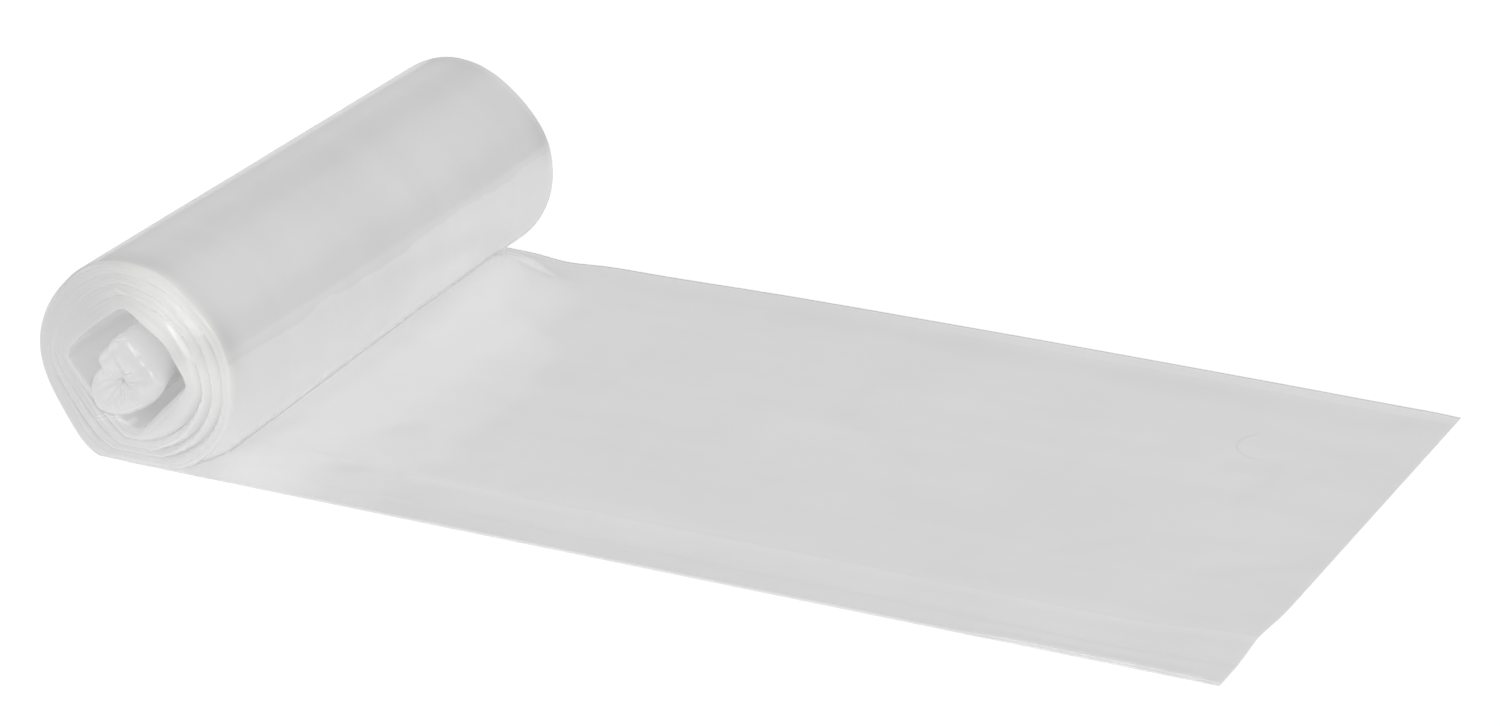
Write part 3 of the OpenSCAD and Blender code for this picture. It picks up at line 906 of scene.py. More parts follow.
@dataclass
class FilmWeb:
    """The whole web as one closed skin: tail, turns and free stretch.

    Args:
        width: Width of the web in millimetres.
        middle: Place of the roll's axis and of the near end in the part's frame, in millimetres.
        winding: The wall of the roll.
        tail: The tail in its hollow.
        ends: How the edges are drawn in at the roll's ends.
        stretch: The free stretch.
        rows: The rows of points across the web.
        stations: The stations along it.
        cap_places: Places across the thickness of the film's rounded edge, from -1 outside to 1 inside.
        thinned: Share of the thickness that is left at the first and last stations, by their index.
        hollow_crumple: Depth of the crumples in the hollow.
        wrap_mottle: Height of the mottle on the outermost turn.
        dome_reach: How deep in from the roll's ends the ridges reach.
        rim_dir: Direction in which the turns' edges get the most painted highlight.
        rim_reach: How deep in from the ends that painted highlight shows.
        end_shade: Painted shade on the turns at the ends, by direction, below 0 for darker.
        end_reach: How deep in from the ends that painted shade shows.
        hollow_shade: How much paler the hollow looks inside, below 0 for painted shade.
        pocket_shade: Direction in which the hollow gets more painted shade, and how much more there.
        band_line: Degrees above the roll's side at which its band of painted shade starts, by distance from
            the near edge.
        band_reach: How far from that line the distance to it is kept.
        wrap_light: How much paler the painted light and highlight make the roll's outside, by degrees above
            its side.
        far_side_shade: How much paler the roll's outside looks towards the far end, below 0 for painted
            shade, between two distances from the near edge, up to between two directions.
        glint: How much paler the painted highlight makes the open near edge of the stretch, and how wide it
            is.
        contact_light: How much paler painted light makes the film beside the line where the roll meets the
            stretch, against the shade there.
        contact_roll: Where it does so on the roll, in degrees above its side, and how wide.
        contact_sheet: Where it does so on the stretch, as a distance from the axis, and how wide.
        contact_run: Distances from the near edge between which this begins, and between which it ends.
    """

    width: float
    middle: Pair
    winding: Winding = field(default_factory=Winding)
    tail: Tail = field(default_factory=Tail)
    ends: Ends = field(default_factory=Ends)
    stretch: Stretch = field(default_factory=Stretch)
    rows: Rows = field(default_factory=Rows)
    stations: Stations = field(default_factory=Stations)
    cap_places: tuple[float, ...] = (-0.88, -0.45, 0.0, 0.45, 0.88)
    thinned: tuple[tuple[int, float], ...] = ((0, 0.0), (1, 0.5), (2, 0.9), (-1, 0.0), (-2, 0.6), (-3, 0.9))
    hollow_crumple: float = 0.5
    wrap_mottle: float = 0.12
    dome_reach: float = 10.0
    rim_dir: float = 45.0
    rim_reach: float = 5.0
    end_shade: Stops = (
        (0, -0.02), (20, -0.17), (40, -0.06), (60, 0.0), (80, -0.08), (100, -0.16), (135, -0.18),
        (180, -0.12), (225, -0.12), (270, 0.0), (315, -0.03),
    )
    end_reach: float = 16.0
    hollow_shade: float = -0.04
    pocket_shade: Pair = (318.0, -0.28)
    band_line: Stops = (
        (0, 9), (26, 9.4), (40, 7.4), (56, 7.4), (68, 11.5), (82, 8.3), (124, 7.6), (152, 10), (180, 10),
        (208, 8), (226, 10.2), (250, 10),
    )
    band_reach: float = 6.0
    wrap_light: Stops = (
        (-60, 0.0), (-30, 0.015), (0, 0.015), (10, 0.0), (14, 0.02), (24, 0.035), (34, 0.068), (48, 0.062),
        (66, 0.035), (120, 0.035), (240, 0.07),
    )
    far_side_shade: tuple[float, Pair, Pair] = (-0.03, (212.0, 236.0), (50.0, 70.0))
    glint: Pair = (0.12, 2.5)
    contact_light: float = 0.08
    contact_roll: Pair = (-52.0, 8.0)
    contact_sheet: Pair = (31.0, 4.0)
    contact_run: tuple[Pair, Pair] = ((8.0, 40.0), (110.0, 200.0))

    def in_wall(self, turn: np.ndarray) -> np.ndarray:
        """Return 0 in the tail and 1 in the wall, with a soft change between them."""
        return smooth((turn / self.winding.blend + 1.0) / 2.0)

    def edge_draw(self, turn: np.ndarray, end: End) -> np.ndarray:
        """Return how far the web's edge lies behind the roll's end, for the tail and the wall."""
        angle = self.winding.turn_angle(turn) + end.value
        tail = 2.5 + sine(2.0 * angle) + 0.5 * sine(5.0 * angle)
        if end is End.NEAR:
            tail = tail + self.tail.tuck * self.tail.tucked(turn)
        inside = np.maximum(turn, 0.0)
        wall = self.ends.drawn(self.winding, inside, 0.0, end) + self.ends.strayed(self.winding, inside, end)
        return mix(tail, wall, self.in_wall(turn))

    def across_roll(self, turn: np.ndarray, across: np.ndarray) -> np.ndarray:
        """Return the y of each row at each station of the roll."""
        near = self.edge_draw(turn, End.NEAR)[:, None]
        far = self.edge_draw(turn, End.FAR)[:, None]
        return near + (self.width - far - near) * across[None, :] / self.width

    def tail_faces(self, turn: np.ndarray, across: np.ndarray) -> tuple[np.ndarray, np.ndarray]:
        """Return the outer and inner face of the tail, as stations, rows and x, y, z.

        Args:
            turn: Turn number of each station.
            across: Distance of each row from the near edge.
        """
        t, w = np.minimum(turn, self.winding.blend)[:, None], across[None, :]
        middles, thin = self.tail.spread(self.winding, t, w, self.across_roll(turn, across))
        normal = np.cross(np.gradient(middles, axis=0), np.gradient(middles, axis=1))
        normal = normal / np.maximum(np.linalg.norm(normal, axis=2, keepdims=True), 1e-9)
        half = (self.tail.thickness(self.winding, np.minimum(t, 0.0)) * thin / 2.0)[:, :, None]
        return middles - normal * half, middles + normal * half

    def edge_gap(self, turn: np.ndarray, across: np.ndarray, side: int) -> np.ndarray:
        """Return how much further one face of the film keeps away from the next turn near the roll's ends.

        Args:
            turn: Turn number of each point.
            across: Distance of each point from the near edge.
            side: The face, -1 outside and 1 inside.
        """
        gap = 0.0
        for end, low in ((End.NEAR, across), (End.FAR, self.width - across)):
            closed = self.ends.closed * self.winding.seam_gap / 2.0
            opened = self.ends.opened(self.winding, turn, side, end)
            gap = gap + (opened - closed) * (1.0 - ramp(low, 0.0, self.ends.open_reach))
        return gap

    def wall_faces(self, turn: np.ndarray, across: np.ndarray) -> tuple[np.ndarray, np.ndarray]:
        """Return the outer and inner face of the wall, as stations, rows and x, y, z.

        Args:
            turn: Turn number of each station.
            across: Distance of each row from the near edge.
        """
        winding = self.winding
        t, w = np.maximum(turn, -winding.blend)[:, None], across[None, :]
        t, w = np.broadcast_arrays(t, w)
        share = w / self.width
        angle = winding.turn_angle(t)
        middle, level = winding.radius(t, share), winding.floor_level(t)
        gaps = [winding.seam_gap / 2.0 + self.edge_gap(t, w, side) for side in (-1, 1)]
        seam_out, level_out = winding.seam(t, share)
        seam_in, level_in = winding.seam(t - 1.0, share)
        half = np.full(t.shape, winding.film / 2.0)
        wrap = ramp(t, winding.turns - 1.0, winding.turns - 0.95)
        mottle = cloud(angle / 24.0, w / 55.0, 4.4) + 0.5 * cloud(angle / 11.0, w / 24.0, 6.2)
        calm = ramp(t, winding.turns - 1.0, winding.turns - 0.85) * ramp(winding.turns - t, 0.04, 0.15)
        outside = middle + winding.wrap_half(t, share) + self.wrap_mottle * calm * mottle
        outer = mix(seam_out - gaps[0], outside, wrap)
        outer_level = mix(level_out + gaps[0], level - half, wrap)
        crumple = self.hollow_crumple * ramp(t, 0.05, 0.25)
        hollow = middle - half - crumple * (cloud(angle / 40.0, w / 30.0, 2.2) + 0.9)
        turned = ramp(t, 0.93, 1.03)
        inner = mix(hollow, seam_in + gaps[1], turned)
        inner_level = mix(level + half, level_in - gaps[1], turned)
        thin = ramp(t, winding.turns - winding.thin_from, winding.turns)
        inner, inner_level = mix(inner, middle - half, thin), mix(inner_level, level + half, thin)
        y = self.across_roll(turn, across)
        faces = []
        for radius, floor in ((outer, outer_level), (inner, inner_level)):
            xz = winding.on_floor(t, radius, floor)
            faces.append(np.stack([xz[:, :, 0], y, xz[:, :, 1]], axis=2))
        return faces[0], faces[1]

    def room_under(self, turn: np.ndarray, outer: np.ndarray, x: np.ndarray) -> np.ndarray:
        """Return how high the roll's underside is above each point of the free stretch.

        Args:
            turn: Turn number of each station on the roll.
            outer: Points of the wall's outer face, as stations, rows and x, y, z.
            x: Distance of each station of the free stretch from the axis.
        """
        start, end = np.searchsorted(turn, self.winding.turns - np.array(self.winding.overhang))
        over = outer[start:end].transpose(1, 0, 2)
        rows = [np.interp(x, row[:, 0], row[:, 2], right=1e3) for row in over]
        return np.stack(rows, axis=1)

    def free_faces(
        self, x: np.ndarray, across: np.ndarray, room: np.ndarray,
    ) -> tuple[np.ndarray, np.ndarray]:
        """Return the under and upper face of the free stretch, as stations, rows and x, y, z.

        Args:
            x: Distance of each station from the axis.
            across: Distance of each row from the near edge.
            room: Height of the roll's underside above each point.
        """
        stretch, last = self.stretch, np.array([self.winding.turns])
        fade = np.exp(-x / stretch.draw_fade)[:, None]
        near = self.edge_draw(last, End.NEAR) * fade
        far = self.edge_draw(last, End.FAR) * fade
        gx, gy = np.broadcast_arrays(x[:, None], across[None, :])
        moved = gy + stretch.hem_shift(gx, gy)
        share = moved / self.width
        y = near + (self.width - far - near) * share
        free = gx / stretch.reach
        y = y - stretch.near_out * free * (1.0 - share) - stretch.drawn_far(gx) * share
        notch = stretch.notch * bell(gy, stretch.notch_y, stretch.notch_width)
        skew = (stretch.skew * (1.0 - share) + notch * ramp(free, stretch.notch_from, 1.0)) * free ** 2
        under = stretch.height(gx, moved, self.width)
        under = np.minimum(under, np.maximum(room - self.winding.film - stretch.under_roll, 0.0))
        under = np.stack([gx - skew, y, under], axis=2)
        slope = np.cross(np.gradient(under, axis=0), np.gradient(under, axis=1))
        normal = slope / np.linalg.norm(slope, axis=2, keepdims=True)
        lip = stretch.lip_open * stretch.lip(gx) * (1.0 - ramp(gy, 0.0, 9.0))
        thick = self.winding.film + stretch.hemmed(gx, gy) + lip
        return under, under + normal * thick[:, :, None]

    def edge_cap(
        self, turn: np.ndarray, x: np.ndarray, faces: tuple[np.ndarray, np.ndarray], end: End,
    ) -> np.ndarray:
        """Return the film's rounded edge at one end, as stations, places round it, and x, y, z.

        Args:
            turn: Turn number of each station on the roll.
            x: Distance of each station of the free stretch from the axis.
            faces: The outer and the inner face.
            end: The end of the roll.
        """
        roll = len(turn)
        row, beside, way = (0, 1, -1.0) if end is End.NEAR else (-1, -2, 1.0)
        middle = (faces[0] + faces[1]) / 2.0
        step = middle[:, row] - middle[:, beside]
        outwards = step / np.maximum(np.linalg.norm(step, axis=1, keepdims=True), 1e-9)
        outwards[:roll] = mix(outwards[:roll], np.array([0.0, way, 0.0]), self.in_wall(turn)[:, None])
        half = (faces[1][:, row] - faces[0][:, row]) / 2.0
        size = np.linalg.norm(half, axis=1)
        grooved = facing(self.winding.turn_angle(turn), self.ends.groove_dir + end.value)
        cap = []
        gap = self.stretch.lip_deep * self.stretch.lip(x)
        for place in self.cap_places:
            bulge = self.ends.fold * size * math.sqrt(1.0 - place ** 2)
            bulge[:roll] *= mix(self.ends.fold_least, 1.0, grooved)
            bulge[:roll] += self.dome_shift(turn, place, end)
            if end is End.NEAR:
                bulge[roll:] -= gap * max(0.0, 1.0 - 2.0 * abs(place))
            cap.append(middle[:, row] + half * place + outwards * bulge[:, None])
        return np.stack(cap if end is End.NEAR else cap[::-1], axis=1)

    def skin(self) -> np.ndarray:
        """Return the skin's points as stations, places round the film's section, and x, y, z."""
        across = self.rows.across(self.width)
        turn = self.stations.turns(self.winding, self.tail)
        x = self.stations.lengths(self.stretch)
        roll = len(turn)
        s = self.in_wall(turn)[:, None, None]
        tail, wall = self.tail_faces(turn, across), self.wall_faces(turn, across)
        free = self.free_faces(x, across, self.room_under(turn, wall[0], x))
        outer, inner = (np.concatenate([mix(tail[k], wall[k], s), free[k]]) for k in (0, 1))
        middle = (outer + inner) / 2.0
        for index, share in self.thinned:
            outer[index] = mix(middle[index], outer[index], share)
            inner[index] = mix(middle[index], inner[index], share)
        near, far = (self.edge_cap(turn, x, (outer, inner), end) for end in End)
        for end, away, way in ((End.NEAR, across, -1.0), (End.FAR, self.width - across, 1.0)):
            fade = np.clip(1.0 - away / self.dome_reach, 0.0, 1.0)[None, :] ** 2
            inner[:roll, :, 1] += way * fade * self.dome_shift(turn, 1.0, end)[:, None]
            outer[:roll, :, 1] += way * fade * self.dome_shift(turn, -1.0, end)[:, None]
        return np.concatenate([near, inner, far, outer[:, ::-1]], axis=1)

    def looks(self) -> dict[str, np.ndarray]:
        """Return what the material reads at each point of the skin.

        Returns:
            The painted light and shade, below 0 for darker, the share of the painted highlight colour on the
            turns' edges and the open near edge, and the distance in millimetres above the line on the roll
            where its band of painted shade ends.
        """
        rows = self.rows.across(self.width)
        turn = self.stations.turns(self.winding, self.tail)[:, None]
        x = self.stations.lengths(self.stretch)[:, None]
        cap = np.zeros(len(self.cap_places))
        w = np.concatenate([cap, rows, cap + self.width, rows[::-1]])[None, :]
        outside = np.arange(w.shape[1]) >= w.shape[1] - len(rows)
        wrap = (turn > self.winding.turns - 1.0) & outside
        low = np.minimum(w, self.width - w)
        angle = self.winding.turn_angle(turn)
        above = (angle - self.winding.leave_dir) % 360.0 - 90.0
        in_wall = self.in_wall(turn)
        # Painted shade on the turns at the roll's ends, by direction.
        roll = between(angle, self.end_shade, 360.0) * in_wall * (1.0 - smooth(low / self.end_reach))
        # Painted light over the roll's outside by height, and painted shade on its upper side towards the far
        # end.
        tone, along, upwards = self.far_side_shade
        far = tone * ramp(w, *along) * (1.0 - ramp(above, *upwards))
        roll = roll + wrap * (between(above, self.wrap_light) + far)
        # Painted shade inside the hollow, deepest in its pocket.
        inside = (1.0 - ramp(turn, 0.9, 1.1)) * ramp(low, 6.0, 18.0)
        direction, pocket_shade = self.pocket_shade
        roll = roll + (self.hollow_shade + pocket_shade * facing(angle, direction) ** 6) * inside
        # Painted light beside the contact line, on the roll and on the stretch, which eases the shade in the
        # crevice.
        start, end = self.contact_run
        contact = self.contact_light * ramp(w, *start) * (1.0 - ramp(w, *end))
        roll = roll + contact * bell(above, *self.contact_roll) * wrap
        free_x, free_w = np.broadcast_arrays(x, w)
        # Painted highlight along the open near edge of the stretch, broken up by noise.
        paler, width = self.glint
        glint = self.stretch.lip(free_x) * (1.0 - smooth(free_w / width))
        glint = glint * np.clip(1.0 + 1.2 * cloud(free_x / 5.0, 0.0 * free_w, 6.6), 0.2, 1.0)
        sheet = self.stretch.tone(free_x, free_w, self.width) + paler * glint
        sheet = sheet + contact * bell(x, *self.contact_sheet)
        # Distance to the lower end of the band of painted shade over the roll's upper side.
        arc = np.radians(above - between(w, self.band_line)) * self.winding.diameter / 2.0
        band = np.where(wrap, np.clip(arc, -self.band_reach, self.band_reach), -self.band_reach)
        band = np.concatenate([band, np.full(free_x.shape, -self.band_reach)])
        # Painted highlight on the turns' edges at the ends, strongest towards the upper right.
        rim = smooth(facing(angle, self.rim_dir) ** 3) * in_wall * (1.0 - smooth(low / self.rim_reach))
        # The attributes hold painted light and shade, the share of the painted highlight, and the distance to
        # the band of painted shade.
        return {"tone": np.concatenate([roll, sheet]), "fold": np.concatenate([rim, glint]), "band": band}

    def hidden(self) -> np.ndarray:
        """Return which points of the skin lie between two turns, on rows that can be left out."""
        turn = self.stations.turns(self.winding, self.tail)
        total = len(turn) + len(self.stations.lengths(self.stretch))
        spared = self.rows.spared(self.width)[None, :]
        last = self.winding.turns
        inner, outer = np.zeros(total, bool), np.zeros(total, bool)
        inner[:len(turn)] = (turn > 1.1) & (turn < last - 0.1)
        outer[:len(turn)] = (turn > 0.1) & (turn < last - 1.1)
        cap = np.zeros((total, len(self.cap_places)), bool)
        faces = (inner[:, None] & spared, outer[:, None] & spared[:, ::-1])
        return np.concatenate([cap, faces[0], cap, faces[1]], axis=1)

    def corners(self) -> np.ndarray:
        """Return which points of the skin lie on the wall's sharp edges, between a face and a cap."""
        turn = self.stations.turns(self.winding, self.tail)
        total = len(turn) + len(self.stations.lengths(self.stretch))
        cap, rows = len(self.cap_places), len(self.rows.across(self.width))
        sharp = np.zeros((total, 2 * (cap + rows)), bool)
        wall = np.arange(total) < len(turn)
        wall[:len(turn)] &= (turn > 0.1) & (turn < self.winding.turns - 0.15)
        under = wall.copy()
        under[:len(turn)] &= turn < self.winding.turns - 1.05
        sharp[wall, cap], sharp[wall, cap + rows - 1] = True, True
        sharp[under, 2 * cap + rows], sharp[under, -1] = True, True
        return sharp

    def dome_shift(self, turn: np.ndarray, place: float, end: End) -> np.ndarray:
        """Return how far a place across the film stands out, so that the turns make up one soft ridge."""
        inside = np.maximum(turn, 0.0)
        middle = self.ends.drawn(self.winding, inside, 0.0, end)
        fade = ramp(turn, 0.0, 0.1) * ramp(self.winding.turns - turn, 0.0, 0.06)
        return (middle - self.ends.drawn(self.winding, inside, place, end)) * fade

    def place_in_frame(self, points: np.ndarray) -> np.ndarray:
        """Return points in metres in the part's frame, from millimetres off the roll's near floor point."""
        shift = np.array([self.middle[0], self.middle[1], 0.0])
        return (points + shift) * MM

    def lengths_along(self, points: np.ndarray) -> np.ndarray:
        """Return the length of a line of points from its start to each of them."""
        steps = np.linalg.norm(np.diff(points, axis=0), axis=1)
        return np.concatenate([[0.0], np.cumsum(steps)])

    def build(self, finish: "FilmFinish") -> tuple[bpy.types.Object, float]:
        """Make the web's object.

        Args:
            finish: The film's finish.

        Returns:
            The object, and the length of film in metres.
        """
        points = self.place_in_frame(self.skin())
        count, around = points.shape[:2]
        along = self.lengths_along(points[:, around // 4])
        ring = np.concatenate([points, points[:, :1]], axis=1)
        girth = self.lengths_along(ring[count // 2])
        mesh = bpy.data.meshes.new("film_web")
        bm = bmesh.new()
        bmesh.ops.create_grid(bm, x_segments=count - 1, y_segments=around, size=1.0)
        uv = bm.loops.layers.uv.new(UV_MAP)
        looks = {name: np.concatenate([look, look[:, :1]], axis=1) for name, look in self.looks().items()}
        layers = [bm.verts.layers.float.new(name) for name in looks]
        places = {}
        for vert in bm.verts:
            i = round((vert.co.x + 1.0) / 2.0 * (count - 1))
            j = round((vert.co.y + 1.0) / 2.0 * around)
            places[vert] = (i, j)
            vert.co = ring[i, j]
            for layer, look in zip(layers, looks.values()):
                vert[layer] = float(look[i, j])
        for face in bm.faces:
            face.smooth = True
            for loop in face.loops:
                i, j = places[loop.vert]
                loop[uv].uv = (along[i], girth[j])
        hidden, sharp = self.hidden(), self.corners()
        spare = []
        for edge in bm.edges:
            (i, j), (k, m) = (places[vert] for vert in edge.verts)
            if j != m or j == around:
                continue
            edge.smooth = not (sharp[i, j] and sharp[k, j])
            if hidden[i, j] and hidden[k, j]:
                spare.append(edge)
        bmesh.ops.dissolve_edges(bm, edges=spare, use_verts=True)
        bmesh.ops.remove_doubles(bm, verts=bm.verts, dist=1e-6)
        bmesh.ops.recalc_face_normals(bm, faces=bm.faces)
        bm.to_mesh(mesh)
        bm.free()
        piece = bpy.data.objects.new("film_web", mesh)
        bpy.context.scene.collection.objects.link(piece)
        mesh.materials.append(finish.material())
        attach(piece, BODY)
        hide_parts(NODE)
        return piece, float(along[-1])


class Graph:
    """A short way to add and join the nodes of a material or group."""

    def __init__(self, tree: bpy.types.NodeTree) -> None:
        """Keep the tree.

        Args:
            tree: The node tree to fill.
        """
        self.tree = tree

    def add(self, kind: str, settings: dict | None = None, **inputs: object) -> bpy.types.Node:
        """Add a node.

        Args:
            kind: The node's type name.
            settings: Properties of the node.
            inputs: Values or sockets for its inputs, by name with _ for a blank.

        Returns:
            The node.
        """
        node = self.tree.nodes.new(kind)
        for name, value in (settings or {}).items():
            setattr(node, name, value)
        for name, value in inputs.items():
            socket = node.inputs[int(name[1:])] if name[1:].isdigit() else node.inputs[name.replace("_", " ")]
            if isinstance(value, bpy.types.NodeSocket):
                self.tree.links.new(value, socket)
            else:
                socket.default_value = value
        return node

    def math(self, operation: str, a: object, b: object = 0.0, c: object = 0.0) -> bpy.types.NodeSocket:
        """Add a sum of two or three values and return its result."""
        return self.add("ShaderNodeMath", {"operation": operation}, i0=a, i1=b, i2=c).outputs[0]

    def vector(self, operation: str, a: object, b: object) -> bpy.types.NodeSocket:
        """Add a sum of two vectors and return its result, which is a number for a distance or dot product."""
        made = self.add("ShaderNodeVectorMath", {"operation": operation}, i0=a, i1=b)
        return made.outputs["Value" if operation in ("DISTANCE", "DOT_PRODUCT") else "Vector"]

    def scaled(self, vector: object, scale: object) -> bpy.types.NodeSocket:
        """Add the product of a vector or colour and a number, and return it."""
        made = self.add("ShaderNodeVectorMath", {"operation": "SCALE"}, i0=vector, Scale=scale)
        return made.outputs[0]

    def fade(
        self, value: object, low: object, high: object, start: object = 0.0, end: object = 1.0,
    ) -> bpy.types.NodeSocket:
        """Add a soft step from start to end as a value goes from low to high, and return it."""
        return self.add(
            "ShaderNodeMapRange", {"interpolation_type": "SMOOTHSTEP"}, Value=value,
            From_Min=low, From_Max=high, To_Min=start, To_Max=end,
        ).outputs[0]

    def blend(self, share: object, a: object, b: object) -> bpy.types.NodeSocket:
        """Add a mix of two colours, and return it: a at share 0 and b at share 1."""
        made = self.add("ShaderNodeMix", {"data_type": "RGBA"}, i0=share, i6=a, i7=b)
        return made.outputs[2]

    def attribute(self, name: str) -> bpy.types.NodeSocket:
        """Add a value that is kept in the mesh, and return it."""
        return self.add("ShaderNodeAttribute", {"attribute_name": name}).outputs["Fac"]

    def noise(
        self, vector: object, scale: float, detail: float, stretch: Pair,
    ) -> bpy.types.NodeSocket:
        """Add a noise texture on a stretched pattern and return its value."""
        placed = self.add("ShaderNodeMapping", Vector=vector, Scale=(*stretch, 1.0))
        made = self.add("ShaderNodeTexNoise", Vector=placed.outputs[0], Scale=scale, Detail=detail)
        return made.outputs[0]


class Group(Graph):
    """A node group with its inputs and outputs."""

    def __init__(self, name: str, vectors: tuple[str, ...], numbers: tuple[str, ...]) -> None:
        """Make the group.

        Args:
            name: Name of the group.
            vectors: Names of the inputs that are vectors.
            numbers: Names of the inputs that are numbers.
        """
        super().__init__(bpy.data.node_groups.new(name, "ShaderNodeTree"))
        for kind, names in (("NodeSocketVector", vectors), ("NodeSocketFloat", numbers)):
            for socket in names:
                self.tree.interface.new_socket(socket, in_out="INPUT", socket_type=kind)
        self.given = self.add("NodeGroupInput").outputs

    def finish(self, **results: bpy.types.NodeSocket) -> bpy.types.NodeTree:
        """Return the group's tree, with each result as an output of that name."""
        for name in results:
            self.tree.interface.new_socket(name, in_out="OUTPUT", socket_type="NodeSocketFloat")
        self.add("NodeGroupOutput", **results)
        return self.tree


def film_surface_group() -> bpy.types.NodeTree:
    """Make the group for the surface of thin frosted film.

    Returns:
        A group with the input Vector and the outputs Tone and Height.
    """
    group = Group("film_surface", ("Vector",), ())
    vector = group.given["Vector"]
    clouds = group.noise(vector, 14.0, 3.0, (1.0, 0.7))
    streaks = group.noise(vector, 60.0, 2.0, (0.12, 1.0))
    waves = group.noise(vector, 75.0, 2.0, (0.7, 1.0))
    creases = group.noise(vector, 260.0, 3.0, (0.6, 1.0))
    tone = group.math("ADD", group.math("MULTIPLY", clouds, 0.7), group.math("MULTIPLY", streaks, 0.3))
    height = group.math("MULTIPLY_ADD", creases, 0.12, waves)
    height = group.math("MULTIPLY_ADD", streaks, 0.25, height)
    return group.finish(Tone=tone, Height=height)


def stroke_group() -> bpy.types.NodeTree:
    """Make the group that masks one short line.

    Returns:
        A group with the inputs Vector, Start, Way, Length Squared and Half Width, and the output Mask.
    """
    group = Group("stroke", ("Vector", "Start", "Way"), ("Length Squared", "Half Width"))
    given = group.given
    off = group.vector("SUBTRACT", given["Vector"], given["Start"])
    along = group.vector("DOT_PRODUCT", off, given["Way"])
    share = group.add("ShaderNodeMapRange", Value=along, From_Max=given["Length Squared"]).outputs[0]
    away = group.vector("DISTANCE", off, group.scaled(given["Way"], share))
    return group.finish(Mask=group.fade(away, 0.0, given["Half Width"], 1.0, 0.0))


